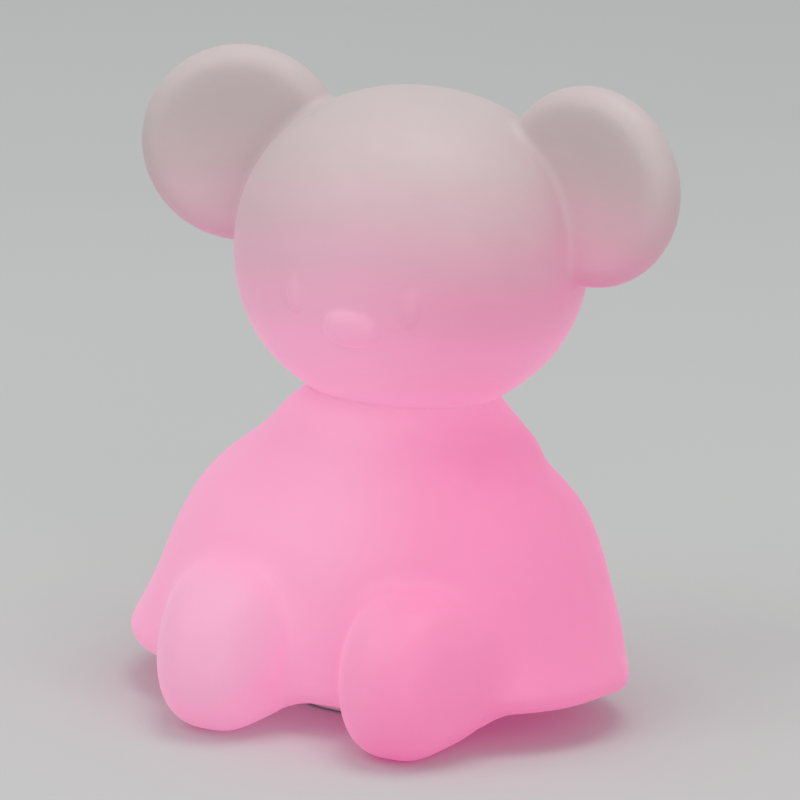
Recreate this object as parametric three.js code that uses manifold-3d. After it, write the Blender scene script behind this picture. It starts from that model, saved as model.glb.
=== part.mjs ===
// A silicone night light in the form of a seated bear-like animal.
// It stands on the table at z = 0 and faces -Y. Lengths are millimetres, +Z is up.
import * as THREE from 'three';
import { mergeVertices } from 'three/addons/utils/BufferGeometryUtils.js';
import Module from 'manifold-3d';

// Overall height, from the table to the tops of the ears
const FIGURE_HEIGHT = 150;

// Head: a rounded form, a little wider than it is deep
const HEAD_HALF_WIDTH = 41.6;
const HEAD_HALF_DEPTH = 38.7;
const HEAD_HALF_HEIGHT = 38.3;
const HEAD_BELOW_TOP = 43.9;
const HEAD_Y = -0.4;
const HEAD_Z = FIGURE_HEIGHT - HEAD_BELOW_TOP;
const HEAD_SQUARENESS = 2.1;

// Ears: thick round discs with a dished front, turned a little towards each other
const EAR_HALF_WIDTH = 23.9;
const EAR_HALF_HEIGHT = 23.4;
const EAR_FRONT_THICKNESS = 11;
const EAR_BACK_THICKNESS = 11.5;
const EAR_DISH_DEPTH = 7.2;
const EAR_DISH_SHARE = 0.86;
const EAR_RIM_SHARE = 0.22;
const EAR_X = 43.5;
const EAR_Y = -1.5;
const EAR_Z = FIGURE_HEIGHT - EAR_HALF_HEIGHT;
const EAR_TURN = THREE.MathUtils.degToRad(14.5);

// Face: two upright oval eyes and a wide oval nose, all raised from the skin
const EYE_HALF_WIDTH = 2.2;
const EYE_HALF_HEIGHT = 4.9;
const EYE_PROUD = 0.8;
const EYE_BURIED = 1;
const EYE_X = 13.9;
const EYE_BELOW_HEAD_CENTRE = 4.8;
const EYE_Z = HEAD_Z - EYE_BELOW_HEAD_CENTRE;
const NOSE_HALF_WIDTH = 7;
const NOSE_HALF_HEIGHT = 4.9;
const NOSE_PROUD = 2.6;
const NOSE_BURIED = 2.2;
const NOSE_BELOW_HEAD_CENTRE = 11.1;
const NOSE_Z = HEAD_Z - NOSE_BELOW_HEAD_CENTRE;

// Body and arms: one bell-shaped form with a rounded hem
const BODY_HALF_WIDTH = 59.8;
const BODY_FRONT_DEPTH = 46.8;
const BODY_BACK_DEPTH = 33;
const BODY_Y = -2.2;
const BODY_BOTTOM_Z = 4.4;
const BODY_INTO_HEAD = 14.2;
const BODY_TOP_Z = HEAD_Z - HEAD_HALF_HEIGHT + BODY_INTO_HEAD;
const LOW_BODY_SQUARENESS = 2.65;
const HIGH_BODY_SQUARENESS = 2;
const BACK_BODY_SQUARENESS = 2;
// Each row: height, half width, front depth and back depth, as shares of the body's own
const bodySectionShares = [
  [0, 0.66, 0.715, 0.6],
  [0.014, 0.76, 0.807, 0.72],
  [0.028, 0.86, 0.889, 0.83],
  [0.043, 0.94, 0.94, 0.9],
  [0.06, 0.985, 0.976, 0.94],
  [0.084, 1, 0.995, 0.97],
  [0.125, 0.995, 1, 0.99],
  [0.2, 0.965, 1, 1],
  [0.27, 0.928, 0.99, 1],
  [0.345, 0.895, 0.97, 0.99],
  [0.42, 0.863, 0.945, 0.965],
  [0.495, 0.825, 0.895, 0.92],
  [0.565, 0.777, 0.82, 0.87],
  [0.63, 0.71, 0.74, 0.82],
  [0.69, 0.622, 0.67, 0.785],
  [0.74, 0.545, 0.6, 0.765],
  [0.82, 0.46, 0.51, 0.72],
  [0.91, 0.345, 0.405, 0.63],
  [1, 0.24, 0.32, 0.5],
];

// Feet: two stout rounded legs lying forward and leaning back, flat where they stand
const FOOT_HALF_WIDTH = 17.7;
const FOOT_HALF_LENGTH = 23.4;
const FOOT_HALF_HEIGHT = 19.4;
const FOOT_PLAN_SQUARENESS = 3.1;
const FOOT_LOW_SQUARENESS = 2;
const FOOT_HIGH_SQUARENESS = 2.45;
const FOOT_SPREAD_SHARE = 0.36;
const FOOT_LEAN_SHARE = 0.2;
const FOOT_X = 22.7;
const FOOT_Y = -43.87;
const FOOT_SUNK = 1;
const FOOT_Z = FOOT_HALF_HEIGHT - FOOT_SUNK;

// Silicone wall and the clearances shared by all pieces
const SKIN_WALL = 2.5;
const SEAT_GAP = 0.3;
const SOLDER_GAP = 0.1;
const CUT_OVERRUN = 1;

// Grip pads under the bottom cover
const PAD_RADIUS = 4;
const PAD_PROUD = 0.6;
const PAD_SUNK = 0.6;
const PAD_RING_RADIUS = 17;

// Base housing: a wide ring under the skin and a narrower neck inside it
const BASE_Y = -2;
const RING_RADIUS = 26;
const RING_TOP_Z = 9.2;
const NECK_RADIUS = 22.5;
const NECK_TOP_Z = 20;
const HOUSING_WALL = 1.6;
const RECESS_GAP = 0.5;
const PLUG_NOTCH_WIDTH = 15;

// Clamp ring that holds the skin's lip down on the housing
const CLAMP_WIDTH = 2.6;
const CLAMP_THICKNESS = 2;

// Bottom cover and its screws
const COVER_THICKNESS = 2;
const SCREW_COUNT = 3;
const SCREW_RING_RADIUS = 18.6;
const SCREW_FIRST_ANGLE = THREE.MathUtils.degToRad(30);
const SCREW_RADIUS = 0.9;
const SCREW_HEAD_RADIUS = 1.8;
const SCREW_HEAD_HEIGHT = 0.9;
const SCREW_LENGTH = 7.5;
const SCREW_SLOT_WIDTH = 0.5;
const SCREW_SLOT_DEPTH = 0.4;
const COUNTERBORE_DEPTH = 1.2;
const BOSS_RADIUS = 2.6;
const BOSS_FOOT_RADIUS = 1.9;
const SLEEVE_WALL = 1.1;

// Control board, held between the cover's sleeves and the housing
const BOARD_RADIUS = 23.8;
const BOARD_THICKNESS = 1.2;

// Charging socket at the back of the ring
const SOCKET_WIDTH = 8.9;
const SOCKET_HEIGHT = 3.2;
const SOCKET_DEPTH = 7.3;
const SOCKET_SHELL = 0.3;
const SOCKET_MOUTH_DEPTH = 6;
const SOCKET_TONGUE_WIDTH = 6.6;
const SOCKET_TONGUE_HEIGHT = 0.7;
const SOCKET_TONGUE_LENGTH = 4.4;

// Mode button and the switch that it presses
const BUTTON_X = -7.5;
const BUTTON_Y = 3;
const BUTTON_RADIUS = 3.4;
const BUTTON_FLANGE_RADIUS = 4.6;
const BUTTON_FLANGE_THICKNESS = 0.8;
const BUTTON_SUNK = 0.1;
const BUTTON_TRAVEL = 0.5;
const PUSHER_RADIUS = 1.4;
const PUSHER_HEIGHT = 0.3;
const PRESS_RESERVE = 0.1;
const TACT_SIDE = 5.2;

// Slide switch for the power
const SLIDE_X = 7.5;
const SLIDE_Y = 3;
const SLIDE_TRAVEL = 2.4;
const KNOB_LENGTH = 4;
const KNOB_WIDTH = 3;
const KNOB_SUNK = 0.2;
const KNOB_TIP = 1;
const KNOB_RIDGE_WIDTH = 0.5;
const KNOB_RIDGE_PITCH = 1;
const KNOB_RIDGE_COUNT = 3;
const KNOB_RIDGE_DEPTH = 0.3;
const SLIDE_BODY_LENGTH = 9;
const SLIDE_BODY_WIDTH = 4;

// Driver chip and tap sensor on the upper side of the board
const CHIP_LENGTH = 5;
const CHIP_WIDTH = 4;
const CHIP_HEIGHT = 0.8;
const CHIP_X = 16.4;
const CHIP_Y = 0.5;
const TAP_RADIUS = 1.7;
const TAP_HEIGHT = 7;
const TAP_X = 15.8;
const TAP_Y = -5.5;

// Battery, its strap, pad, plug and leads
const CELL_SIDE = 26;
const CELL_THICKNESS = 6.5;
const CELL_CORNER = 1.5;
const STRAP_WIDTH = 6;
const STRAP_THICKNESS = 0.8;
const STRAP_LIFT = 0.9;
const PAD_FOAM_SIDE = 16;
const PLUG_WIDTH = 6;
const PLUG_DEPTH = 3.6;
const PLUG_HEIGHT = 4.6;
const LEAD_RADIUS = 0.55;
const LEAD_SPACING = 2.4;
const LEAD_ABOVE_PLUG = 2.2;

// Light board, lamps and the cable that feeds them
const LIGHT_BOARD_RADIUS = 13.4;
const LAMP_COUNT = 5;
const LAMP_SIDE = 4.6;
const LAMP_HEIGHT = 1.4;
const LAMP_LENS_RADIUS = 1.8;
const LAMP_LENS_DEPTH = 0.4;
const LAMP_RING_RADIUS = 8.5;
const CABLE_WIDTH = 4.4;
const CABLE_THICKNESS = 0.8;
const CABLE_Y = -6;
const CABLE_TOP_X = -9;

// Diffuser dome over the lamps
const DIFFUSER_RADIUS = 15.4;
const DIFFUSER_HEIGHT = 16;
const DIFFUSER_WALL = 1.2;
const DIFFUSER_FLANGE_RADIUS = 21.6;
const DIFFUSER_FLANGE_THICKNESS = 1.4;

// Facet counts of the outside, of the plainer inside, and of the round fittings
const outsideFacets = {
  head: [30, 16],
  ear: [24, 10],
  body: 34,
  foot: [18, 10],
};
const insideFacets = {
  head: [18, 10],
  ear: [14, 6],
  body: 22,
  foot: [12, 8],
};
const FACE_AROUND = 12;
const FACE_RINGS = 6;
const ROUND_FACETS = 30;
const DOME_RINGS = 10;
const SMALL_FACETS = 12;
const TINY_FACETS = 8;
const CORNER_FACETS = 4;
const LEAD_STEPS = 6;

// Levels and places that follow from the sizes above
const COVER_BOTTOM_Z = PAD_PROUD;
const COVER_TOP_Z = COVER_BOTTOM_Z + COVER_THICKNESS;
const SOCKET_BOTTOM_Z = COVER_TOP_Z + SEAT_GAP;
const SOCKET_MIDDLE_Z = SOCKET_BOTTOM_Z + SOCKET_HEIGHT / 2;
const BOARD_BOTTOM_Z = SOCKET_BOTTOM_Z + SOCKET_HEIGHT + SOLDER_GAP;
const BOARD_TOP_Z = BOARD_BOTTOM_Z + BOARD_THICKNESS;
const SHOULDER_BOTTOM_Z = RING_TOP_Z - HOUSING_WALL;
const RING_INNER_RADIUS = RING_RADIUS - HOUSING_WALL;
const NECK_INNER_RADIUS = NECK_RADIUS - HOUSING_WALL;
const PLATE_BOTTOM_Z = NECK_TOP_Z - HOUSING_WALL;
const LIP_BOTTOM_Z = RING_TOP_Z + SEAT_GAP;
const LIP_TOP_Z = LIP_BOTTOM_Z + SKIN_WALL;
const STRAP_BOTTOM_Z = BOARD_TOP_Z + STRAP_LIFT;
const CELL_BOTTOM_Z = STRAP_BOTTOM_Z + STRAP_THICKNESS + SEAT_GAP;
const CELL_TOP_Z = CELL_BOTTOM_Z + CELL_THICKNESS;
const LIGHT_BOARD_BOTTOM_Z = NECK_TOP_Z + SEAT_GAP;
const LIGHT_BOARD_TOP_Z = LIGHT_BOARD_BOTTOM_Z + BOARD_THICKNESS;
const CLAMP_BOTTOM_Z = LIP_TOP_Z + SEAT_GAP;
const CLAMP_INNER_RADIUS = NECK_RADIUS + SEAT_GAP;
const BUTTON_FLANGE_Z = COVER_TOP_Z + SEAT_GAP;
const PUSHER_TOP_Z = BUTTON_FLANGE_Z + BUTTON_FLANGE_THICKNESS + PUSHER_HEIGHT;
const KNOB_X = SLIDE_X - SLIDE_TRAVEL / 2;
const KNOB_TOP_Z = COVER_TOP_Z + KNOB_TIP;
const PLUG_Y = CELL_SIDE / 2 + 2 * SEAT_GAP + PLUG_DEPTH / 2;
const PLUG_TOP_Z = BOARD_TOP_Z + SOLDER_GAP + PLUG_HEIGHT;

const wasm = await Module();
wasm.setup();

// Booleans: a geometry in, a solid out, and back again
function toSolid(geometry) {
  const bare = geometry.clone();
  bare.deleteAttribute('normal');
  bare.deleteAttribute('uv');
  const merged = mergeVertices(bare);
  return new wasm.Manifold(new wasm.Mesh({
    numProp: 3,
    vertProperties: new Float32Array(merged.attributes.position.array),
    triVerts: new Uint32Array(merged.index.array),
  }));
}

function toGeometry(solid) {
  const mesh = solid.getMesh();
  const geometry = new THREE.BufferGeometry();
  geometry.setAttribute('position', new THREE.BufferAttribute(mesh.vertProperties, mesh.numProp));
  geometry.setIndex(new THREE.BufferAttribute(mesh.triVerts, 1));
  const flat = geometry.toNonIndexed();
  flat.computeVertexNormals();
  return flat;
}

function join(solids) {
  return solids.reduce((sum, solid) => sum.add(solid));
}

function cut(solid, tools) {
  return tools.reduce((rest, tool) => rest.subtract(tool), solid);
}

// Plain shapes, placed by their lowest and highest level
function discGeometry(radius, bottom, top, x = 0, y = 0, facets = ROUND_FACETS) {
  const shape = new THREE.CylinderGeometry(radius, radius, top - bottom, facets);
  shape.rotateX(Math.PI / 2);
  shape.translate(x, y, (bottom + top) / 2);
  return shape;
}

function blockGeometry(width, depth, bottom, top, x = 0, y = 0) {
  const shape = new THREE.BoxGeometry(width, depth, top - bottom);
  shape.translate(x, y, (bottom + top) / 2);
  return shape;
}

function disc(...sizes) {
  return toSolid(discGeometry(...sizes));
}

function block(...sizes) {
  return toSolid(blockGeometry(...sizes));
}

function tube(outer, inner, bottom, top, x = 0, y = 0, facets = ROUND_FACETS) {
  const bore = disc(inner, bottom - CUT_OVERRUN, top + CUT_OVERRUN, x, y, facets);
  return disc(outer, bottom, top, x, y, facets).subtract(bore);
}

function screwPlaces() {
  return Array.from({ length: SCREW_COUNT }, (_, i) => {
    const angle = SCREW_FIRST_ANGLE + (i * 2 * Math.PI) / SCREW_COUNT;
    return [SCREW_RING_RADIUS * Math.cos(angle), SCREW_RING_RADIUS * Math.sin(angle)];
  });
}

function signedPower(value, power) {
  return Math.sign(value) * Math.abs(value) ** power;
}

// A closed skin over rings of points that run from the lowest to the highest
function loftGeometry(rings) {
  const around = rings[0].length;
  const positions = [];
  const index = [];
  rings.forEach((ring) => ring.forEach((p) => positions.push(...p)));
  const middle = (ring) => ring.reduce((m, p) => m.map((v, k) => v + p[k] / around), [0, 0, 0]);
  const topRing = positions.length / 3 - around;
  const [bottomPoint, topPoint] = [rings[0], rings[rings.length - 1]].map((ring) => {
    positions.push(...middle(ring));
    return positions.length / 3 - 1;
  });
  for (let j = 0; j < around; j += 1) {
    const next = (j + 1) % around;
    for (let i = 0; i + 1 < rings.length; i += 1) {
      const low = i * around;
      const high = low + around;
      index.push(low + j, low + next, high + next, low + j, high + next, high + j);
    }
    index.push(bottomPoint, next, j, topPoint, topRing + j, topRing + next);
  }
  const geometry = new THREE.BufferGeometry();
  geometry.setAttribute('position', new THREE.BufferAttribute(new Float32Array(positions), 3));
  geometry.setIndex(index);
  return geometry;
}

// Forms of the figure; inset is zero outside and the wall's thickness inside
function ellipsoid(halfWidth, halfDepth, halfHeight, x, y, z, around, rings) {
  const shape = new THREE.SphereGeometry(1, around, rings);
  shape.rotateX(Math.PI / 2);
  shape.scale(halfWidth, halfDepth, halfHeight);
  shape.translate(x, y, z);
  return toSolid(shape);
}

// A plump form between an ellipsoid and a box, which may spread and lean towards +Y
function plumpForm(halves, centre, squareness, spread, lean, [around, steps]) {
  const planPower = 2 / squareness.plan;
  const rings = Array.from({ length: steps - 1 }, (_, i) => {
    const tilt = Math.PI * ((i + 1) / steps - 0.5);
    const power = 2 / (tilt > 0 ? squareness.high : squareness.low);
    const reach = signedPower(Math.cos(tilt), power);
    const above = halves[2] * signedPower(Math.sin(tilt), power);
    return Array.from({ length: around }, (_unused, j) => {
      const angle = ((j + 0.5) * 2 * Math.PI) / around;
      const along = reach * signedPower(Math.sin(angle), planPower);
      const across = reach * signedPower(Math.cos(angle), planPower) * (1 + spread * along);
      return [
        centre[0] + halves[0] * across,
        centre[1] + halves[1] * along + lean * above,
        centre[2] + above,
      ];
    });
  });
  return toSolid(loftGeometry(rings));
}

function headForm(inset, facets) {
  const halves = [HEAD_HALF_WIDTH - inset, HEAD_HALF_DEPTH - inset, HEAD_HALF_HEIGHT - inset];
  const squareness = { plan: HEAD_SQUARENESS, low: HEAD_SQUARENESS, high: HEAD_SQUARENESS };
  return plumpForm(halves, [0, HEAD_Y, HEAD_Z], squareness, 0, 0, facets);
}

function headFrontY(x, z) {
  const across = Math.abs(x / HEAD_HALF_WIDTH) ** HEAD_SQUARENESS;
  const above = Math.abs((z - HEAD_Z) / HEAD_HALF_HEIGHT) ** HEAD_SQUARENESS;
  return HEAD_Y - HEAD_HALF_DEPTH * (1 - across - above) ** (1 / HEAD_SQUARENESS);
}

function earForm(side, inset, [around, steps]) {
  const profile = Array.from({ length: steps + 1 }, (_, i) => {
    const angle = Math.PI * (i / steps - 0.5);
    const radius = i % steps === 0 ? 0 : Math.cos(angle);
    const rise = 1 - (radius / EAR_DISH_SHARE) ** 2;
    const dish = (EAR_DISH_DEPTH * (rise + Math.hypot(rise, EAR_RIM_SHARE))) / 2;
    const forward = (EAR_FRONT_THICKNESS - inset) * Math.sin(angle) - dish;
    const backward = (EAR_BACK_THICKNESS - inset) * Math.sin(angle);
    return new THREE.Vector2(radius, angle > 0 ? forward : backward);
  });
  const shape = new THREE.LatheGeometry(profile, around);
  shape.rotateX(Math.PI);
  shape.scale(EAR_HALF_WIDTH - inset, 1, EAR_HALF_HEIGHT - inset);
  shape.rotateZ(-side * EAR_TURN);
  shape.translate(side * EAR_X, EAR_Y, EAR_Z);
  return toSolid(shape);
}

// The inside ends lower than the outside at the top and higher at the bottom
function bodyForm(inset, around) {
  const height = BODY_TOP_Z - BODY_BOTTOM_Z;
  const rings = bodySectionShares.map(([level, width, front, back]) => {
    const frontSquareness = THREE.MathUtils.lerp(LOW_BODY_SQUARENESS, HIGH_BODY_SQUARENESS, level);
    return Array.from({ length: around }, (_, j) => {
      const angle = (j * 2 * Math.PI) / around;
      const squareness = angle > Math.PI ? frontSquareness : BACK_BODY_SQUARENESS;
      const across = signedPower(Math.cos(angle), 2 / squareness);
      const along = signedPower(Math.sin(angle), 2 / squareness);
      const depth = along < 0 ? BODY_FRONT_DEPTH * front : BODY_BACK_DEPTH * back;
      return [
        across * (BODY_HALF_WIDTH * width - inset),
        BODY_Y + along * (depth - inset),
        BODY_BOTTOM_Z + level * height + inset * (1 - 2 * level),
      ];
    });
  });
  return toSolid(loftGeometry(rings));
}

function footForm(side, inset, facets) {
  const halves = [FOOT_HALF_WIDTH - inset, FOOT_HALF_LENGTH - inset, FOOT_HALF_HEIGHT - inset];
  const squareness = {
    plan: FOOT_PLAN_SQUARENESS,
    low: FOOT_LOW_SQUARENESS,
    high: FOOT_HIGH_SQUARENESS,
  };
  return plumpForm(halves, [side * FOOT_X, FOOT_Y, FOOT_Z], squareness,
    FOOT_SPREAD_SHARE, FOOT_LEAN_SHARE, facets);
}

function faceForms() {
  const eyes = [-1, 1].map((side) => {
    const y = headFrontY(EYE_X, EYE_Z) + EYE_BURIED;
    return ellipsoid(EYE_HALF_WIDTH, EYE_BURIED + EYE_PROUD, EYE_HALF_HEIGHT,
      side * EYE_X, y, EYE_Z, FACE_AROUND, FACE_RINGS);
  });
  const noseY = headFrontY(0, NOSE_Z) + NOSE_BURIED;
  const nose = ellipsoid(NOSE_HALF_WIDTH, NOSE_BURIED + NOSE_PROUD, NOSE_HALF_HEIGHT,
    0, noseY, NOSE_Z, FACE_AROUND, FACE_RINGS);
  return [...eyes, nose];
}

function figureForms(inset, facets) {
  return [
    headForm(inset, facets.head),
    bodyForm(inset, facets.body),
    ...[-1, 1].map((side) => earForm(side, inset, facets.ear)),
    ...[-1, 1].map((side) => footForm(side, inset, facets.foot)),
  ];
}

// The skin: the figure's forms joined, hollowed, cut flat under the feet and open at the base
function skinSolid() {
  const span = BODY_HALF_WIDTH + FOOT_HALF_LENGTH - FOOT_Y;
  const below = (level) => block(2 * span, 2 * span, level - FOOT_HALF_HEIGHT, level);
  const outside = join([...figureForms(0, outsideFacets), ...faceForms()]).subtract(below(0));
  const recessRadius = RING_RADIUS + RECESS_GAP;
  const recess = disc(recessRadius, -CUT_OVERRUN, LIP_BOTTOM_Z, 0, BASE_Y);
  const notchLength = BODY_BACK_DEPTH;
  const notchY = BASE_Y + NECK_RADIUS + notchLength / 2;
  const notch = block(PLUG_NOTCH_WIDTH, notchLength, -CUT_OVERRUN, LIP_BOTTOM_Z, 0, notchY);
  const keep = disc(recessRadius + SKIN_WALL, -CUT_OVERRUN, LIP_TOP_Z, 0, BASE_Y).add(
    block(PLUG_NOTCH_WIDTH + 2 * SKIN_WALL, notchLength, -CUT_OVERRUN, LIP_TOP_Z, 0, notchY));
  const inside = cut(join(figureForms(SKIN_WALL, insideFacets)), [below(SKIN_WALL), keep]);
  const opening = disc(CLAMP_INNER_RADIUS, 0, CLAMP_BOTTOM_Z, 0, BASE_Y);
  return cut(outside, [inside, recess, notch, opening]);
}

// The base housing with its ring, shoulder, neck, top plate and screw bosses
function housingSolid() {
  const ring = tube(RING_RADIUS, RING_INNER_RADIUS, COVER_BOTTOM_Z, RING_TOP_Z);
  const shoulder = tube(RING_RADIUS, NECK_INNER_RADIUS, SHOULDER_BOTTOM_Z, RING_TOP_Z);
  const neck = tube(NECK_RADIUS, NECK_INNER_RADIUS, SHOULDER_BOTTOM_Z, NECK_TOP_Z);
  const plate = disc(NECK_RADIUS, PLATE_BOTTOM_Z, NECK_TOP_Z);
  const pilotRadius = SCREW_RADIUS + SEAT_GAP;
  const bosses = screwPlaces().flatMap(([x, y]) => [
    disc(BOSS_RADIUS, BOARD_TOP_Z + SEAT_GAP, NECK_TOP_Z, x, y, SMALL_FACETS),
    disc(BOSS_FOOT_RADIUS, COVER_TOP_Z + SEAT_GAP, NECK_TOP_Z, x, y, SMALL_FACETS),
  ]);
  const pilots = screwPlaces().flatMap(([x, y]) => [
    disc(pilotRadius, 0, COVER_BOTTOM_Z + SCREW_LENGTH + CUT_OVERRUN + SEAT_GAP, x, y, SMALL_FACETS),
    disc(pilotRadius, NECK_TOP_Z - SCREW_LENGTH + CUT_OVERRUN, NECK_TOP_Z + CUT_OVERRUN,
      x, y, SMALL_FACETS),
  ]);
  const port = block(SOCKET_WIDTH + 2 * SEAT_GAP, 2 * HOUSING_WALL + 2 * CUT_OVERRUN,
    SOCKET_BOTTOM_Z - SEAT_GAP, SOCKET_BOTTOM_Z + SOCKET_HEIGHT + SEAT_GAP,
    0, RING_RADIUS - HOUSING_WALL);
  const slot = block(CABLE_THICKNESS + 2 * SEAT_GAP, CABLE_WIDTH + 2 * SEAT_GAP,
    PLATE_BOTTOM_Z - CUT_OVERRUN, NECK_TOP_Z + CUT_OVERRUN, CABLE_TOP_X, CABLE_Y);
  return cut(join([ring, shoulder, neck, plate, ...bosses]), [...pilots, port, slot]);
}

function clampSolid() {
  return tube(CLAMP_INNER_RADIUS + CLAMP_WIDTH, CLAMP_INNER_RADIUS,
    CLAMP_BOTTOM_Z, CLAMP_BOTTOM_Z + CLAMP_THICKNESS);
}

function padPlaces() {
  return Array.from({ length: SCREW_COUNT }, (_, i) => {
    const angle = SCREW_FIRST_ANGLE + ((i + 0.5) * 2 * Math.PI) / SCREW_COUNT;
    return [PAD_RING_RADIUS * Math.cos(angle), PAD_RING_RADIUS * Math.sin(angle)];
  });
}

function coverSolid() {
  const plate = disc(RING_INNER_RADIUS - SEAT_GAP, COVER_BOTTOM_Z, COVER_TOP_Z);
  const bore = BOSS_FOOT_RADIUS + SEAT_GAP;
  const sleeves = screwPlaces().map(([x, y]) => tube(bore + SLEEVE_WALL, bore,
    COVER_TOP_Z - CUT_OVERRUN, BOARD_BOTTOM_Z - SEAT_GAP, x, y, SMALL_FACETS));
  const drilled = screwPlaces().flatMap(([x, y]) => [
    disc(SCREW_RADIUS + SEAT_GAP, 0, COVER_TOP_Z, x, y, SMALL_FACETS),
    disc(SCREW_HEAD_RADIUS + SEAT_GAP, 0, COVER_BOTTOM_Z + COUNTERBORE_DEPTH, x, y, SMALL_FACETS),
  ]);
  const pockets = padPlaces().map(([x, y]) => disc(PAD_RADIUS + SEAT_GAP, 0,
    COVER_BOTTOM_Z + PAD_SUNK, x, y, SMALL_FACETS));
  const buttonHole = disc(BUTTON_RADIUS + SEAT_GAP, 0, COVER_TOP_Z + CUT_OVERRUN,
    BUTTON_X, BUTTON_Y, SMALL_FACETS);
  const knobSlot = block(KNOB_LENGTH + SLIDE_TRAVEL + 2 * SEAT_GAP, KNOB_WIDTH + 2 * SEAT_GAP,
    0, COVER_TOP_Z + CUT_OVERRUN, SLIDE_X, SLIDE_Y);
  return cut(cut(plate, [...drilled]).add(join(sleeves)), [...pockets, buttonHole, knobSlot]);
}

// A slotted screw standing on its head, or hanging from it when turned over
function screwSolid(x, y, headBottom, upward) {
  const head = disc(SCREW_HEAD_RADIUS, 0, SCREW_HEAD_HEIGHT, 0, 0, SMALL_FACETS);
  const shank = disc(SCREW_RADIUS, 0, SCREW_LENGTH, 0, 0, TINY_FACETS);
  const slot = block(2 * SCREW_HEAD_RADIUS + CUT_OVERRUN, SCREW_SLOT_WIDTH,
    -CUT_OVERRUN, SCREW_SLOT_DEPTH);
  const geometry = toGeometry(head.add(shank).subtract(slot));
  if (!upward) {
    geometry.rotateX(Math.PI);
  }
  geometry.translate(x, y, headBottom);
  return geometry;
}

function boardSolid() {
  const plate = disc(BOARD_RADIUS, BOARD_BOTTOM_Z, BOARD_TOP_Z);
  const holes = screwPlaces().map(([x, y]) => disc(BOSS_FOOT_RADIUS + SEAT_GAP,
    BOARD_BOTTOM_Z - CUT_OVERRUN, BOARD_TOP_Z + CUT_OVERRUN, x, y, SMALL_FACETS));
  return cut(plate, holes);
}

// The charging socket: a metal shell with an open mouth and a tongue inside
function socketSolid() {
  const mouthY = RING_RADIUS - SEAT_GAP;
  const top = SOCKET_BOTTOM_Z + SOCKET_HEIGHT;
  const shell = block(SOCKET_WIDTH, SOCKET_DEPTH, SOCKET_BOTTOM_Z, top, 0, mouthY - SOCKET_DEPTH / 2);
  const mouth = block(SOCKET_WIDTH - 2 * SOCKET_SHELL, SOCKET_MOUTH_DEPTH + CUT_OVERRUN,
    SOCKET_BOTTOM_Z + SOCKET_SHELL, top - SOCKET_SHELL,
    0, mouthY + (CUT_OVERRUN - SOCKET_MOUTH_DEPTH) / 2);
  const tongueBack = mouthY - SOCKET_MOUTH_DEPTH - SOCKET_SHELL;
  const tongueLength = SOCKET_TONGUE_LENGTH + SOCKET_SHELL;
  const tongue = block(SOCKET_TONGUE_WIDTH, tongueLength, SOCKET_MIDDLE_Z - SOCKET_TONGUE_HEIGHT / 2,
    SOCKET_MIDDLE_Z + SOCKET_TONGUE_HEIGHT / 2, 0, tongueBack + tongueLength / 2);
  return shell.subtract(mouth).add(tongue);
}

// The button: a cap through the cover, a flange behind it and a pusher on top
function buttonSolid() {
  const flangeTop = BUTTON_FLANGE_Z + BUTTON_FLANGE_THICKNESS;
  return join([
    disc(BUTTON_RADIUS, COVER_BOTTOM_Z + BUTTON_SUNK, flangeTop, BUTTON_X, BUTTON_Y, SMALL_FACETS),
    disc(BUTTON_FLANGE_RADIUS, BUTTON_FLANGE_Z, flangeTop, BUTTON_X, BUTTON_Y, SMALL_FACETS),
    disc(PUSHER_RADIUS, flangeTop - SEAT_GAP, PUSHER_TOP_Z, BUTTON_X, BUTTON_Y, SMALL_FACETS),
  ]);
}

function tactGeometry() {
  const bottom = PUSHER_TOP_Z + BUTTON_TRAVEL + PRESS_RESERVE;
  return blockGeometry(TACT_SIDE, TACT_SIDE, bottom, BOARD_BOTTOM_Z - SOLDER_GAP, BUTTON_X, BUTTON_Y);
}

// The knob rests at the off end of its slot, with grip ridges on its underside
function knobSolid() {
  const bottom = COVER_BOTTOM_Z + KNOB_SUNK;
  const cap = block(KNOB_LENGTH, KNOB_WIDTH, bottom, KNOB_TOP_Z, KNOB_X, SLIDE_Y);
  const grooves = Array.from({ length: KNOB_RIDGE_COUNT }, (_, i) => block(
    KNOB_RIDGE_WIDTH, KNOB_WIDTH + CUT_OVERRUN, bottom - CUT_OVERRUN, bottom + KNOB_RIDGE_DEPTH,
    KNOB_X + (i - (KNOB_RIDGE_COUNT - 1) / 2) * KNOB_RIDGE_PITCH, SLIDE_Y));
  return cut(cap, grooves);
}

function slideBodyGeometry() {
  return blockGeometry(SLIDE_BODY_LENGTH, SLIDE_BODY_WIDTH,
    KNOB_TOP_Z + SEAT_GAP, BOARD_BOTTOM_Z - SOLDER_GAP, SLIDE_X, SLIDE_Y);
}

// The battery: a flat cell with round upright corners, lying in its strap
function cellGeometry() {
  const half = CELL_SIDE / 2;
  const reach = half - CELL_CORNER;
  const outline = new THREE.Shape();
  outline.moveTo(-reach, -half);
  outline.lineTo(reach, -half);
  outline.absarc(reach, -reach, CELL_CORNER, -Math.PI / 2, 0);
  outline.absarc(reach, reach, CELL_CORNER, 0, Math.PI / 2);
  outline.absarc(-reach, reach, CELL_CORNER, Math.PI / 2, Math.PI);
  outline.absarc(-reach, -reach, CELL_CORNER, Math.PI, 1.5 * Math.PI);
  const shape = new THREE.ExtrudeGeometry(outline, {
    depth: CELL_THICKNESS,
    bevelEnabled: false,
    curveSegments: CORNER_FACETS,
  });
  shape.translate(0, 0, CELL_BOTTOM_Z);
  return shape;
}

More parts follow.
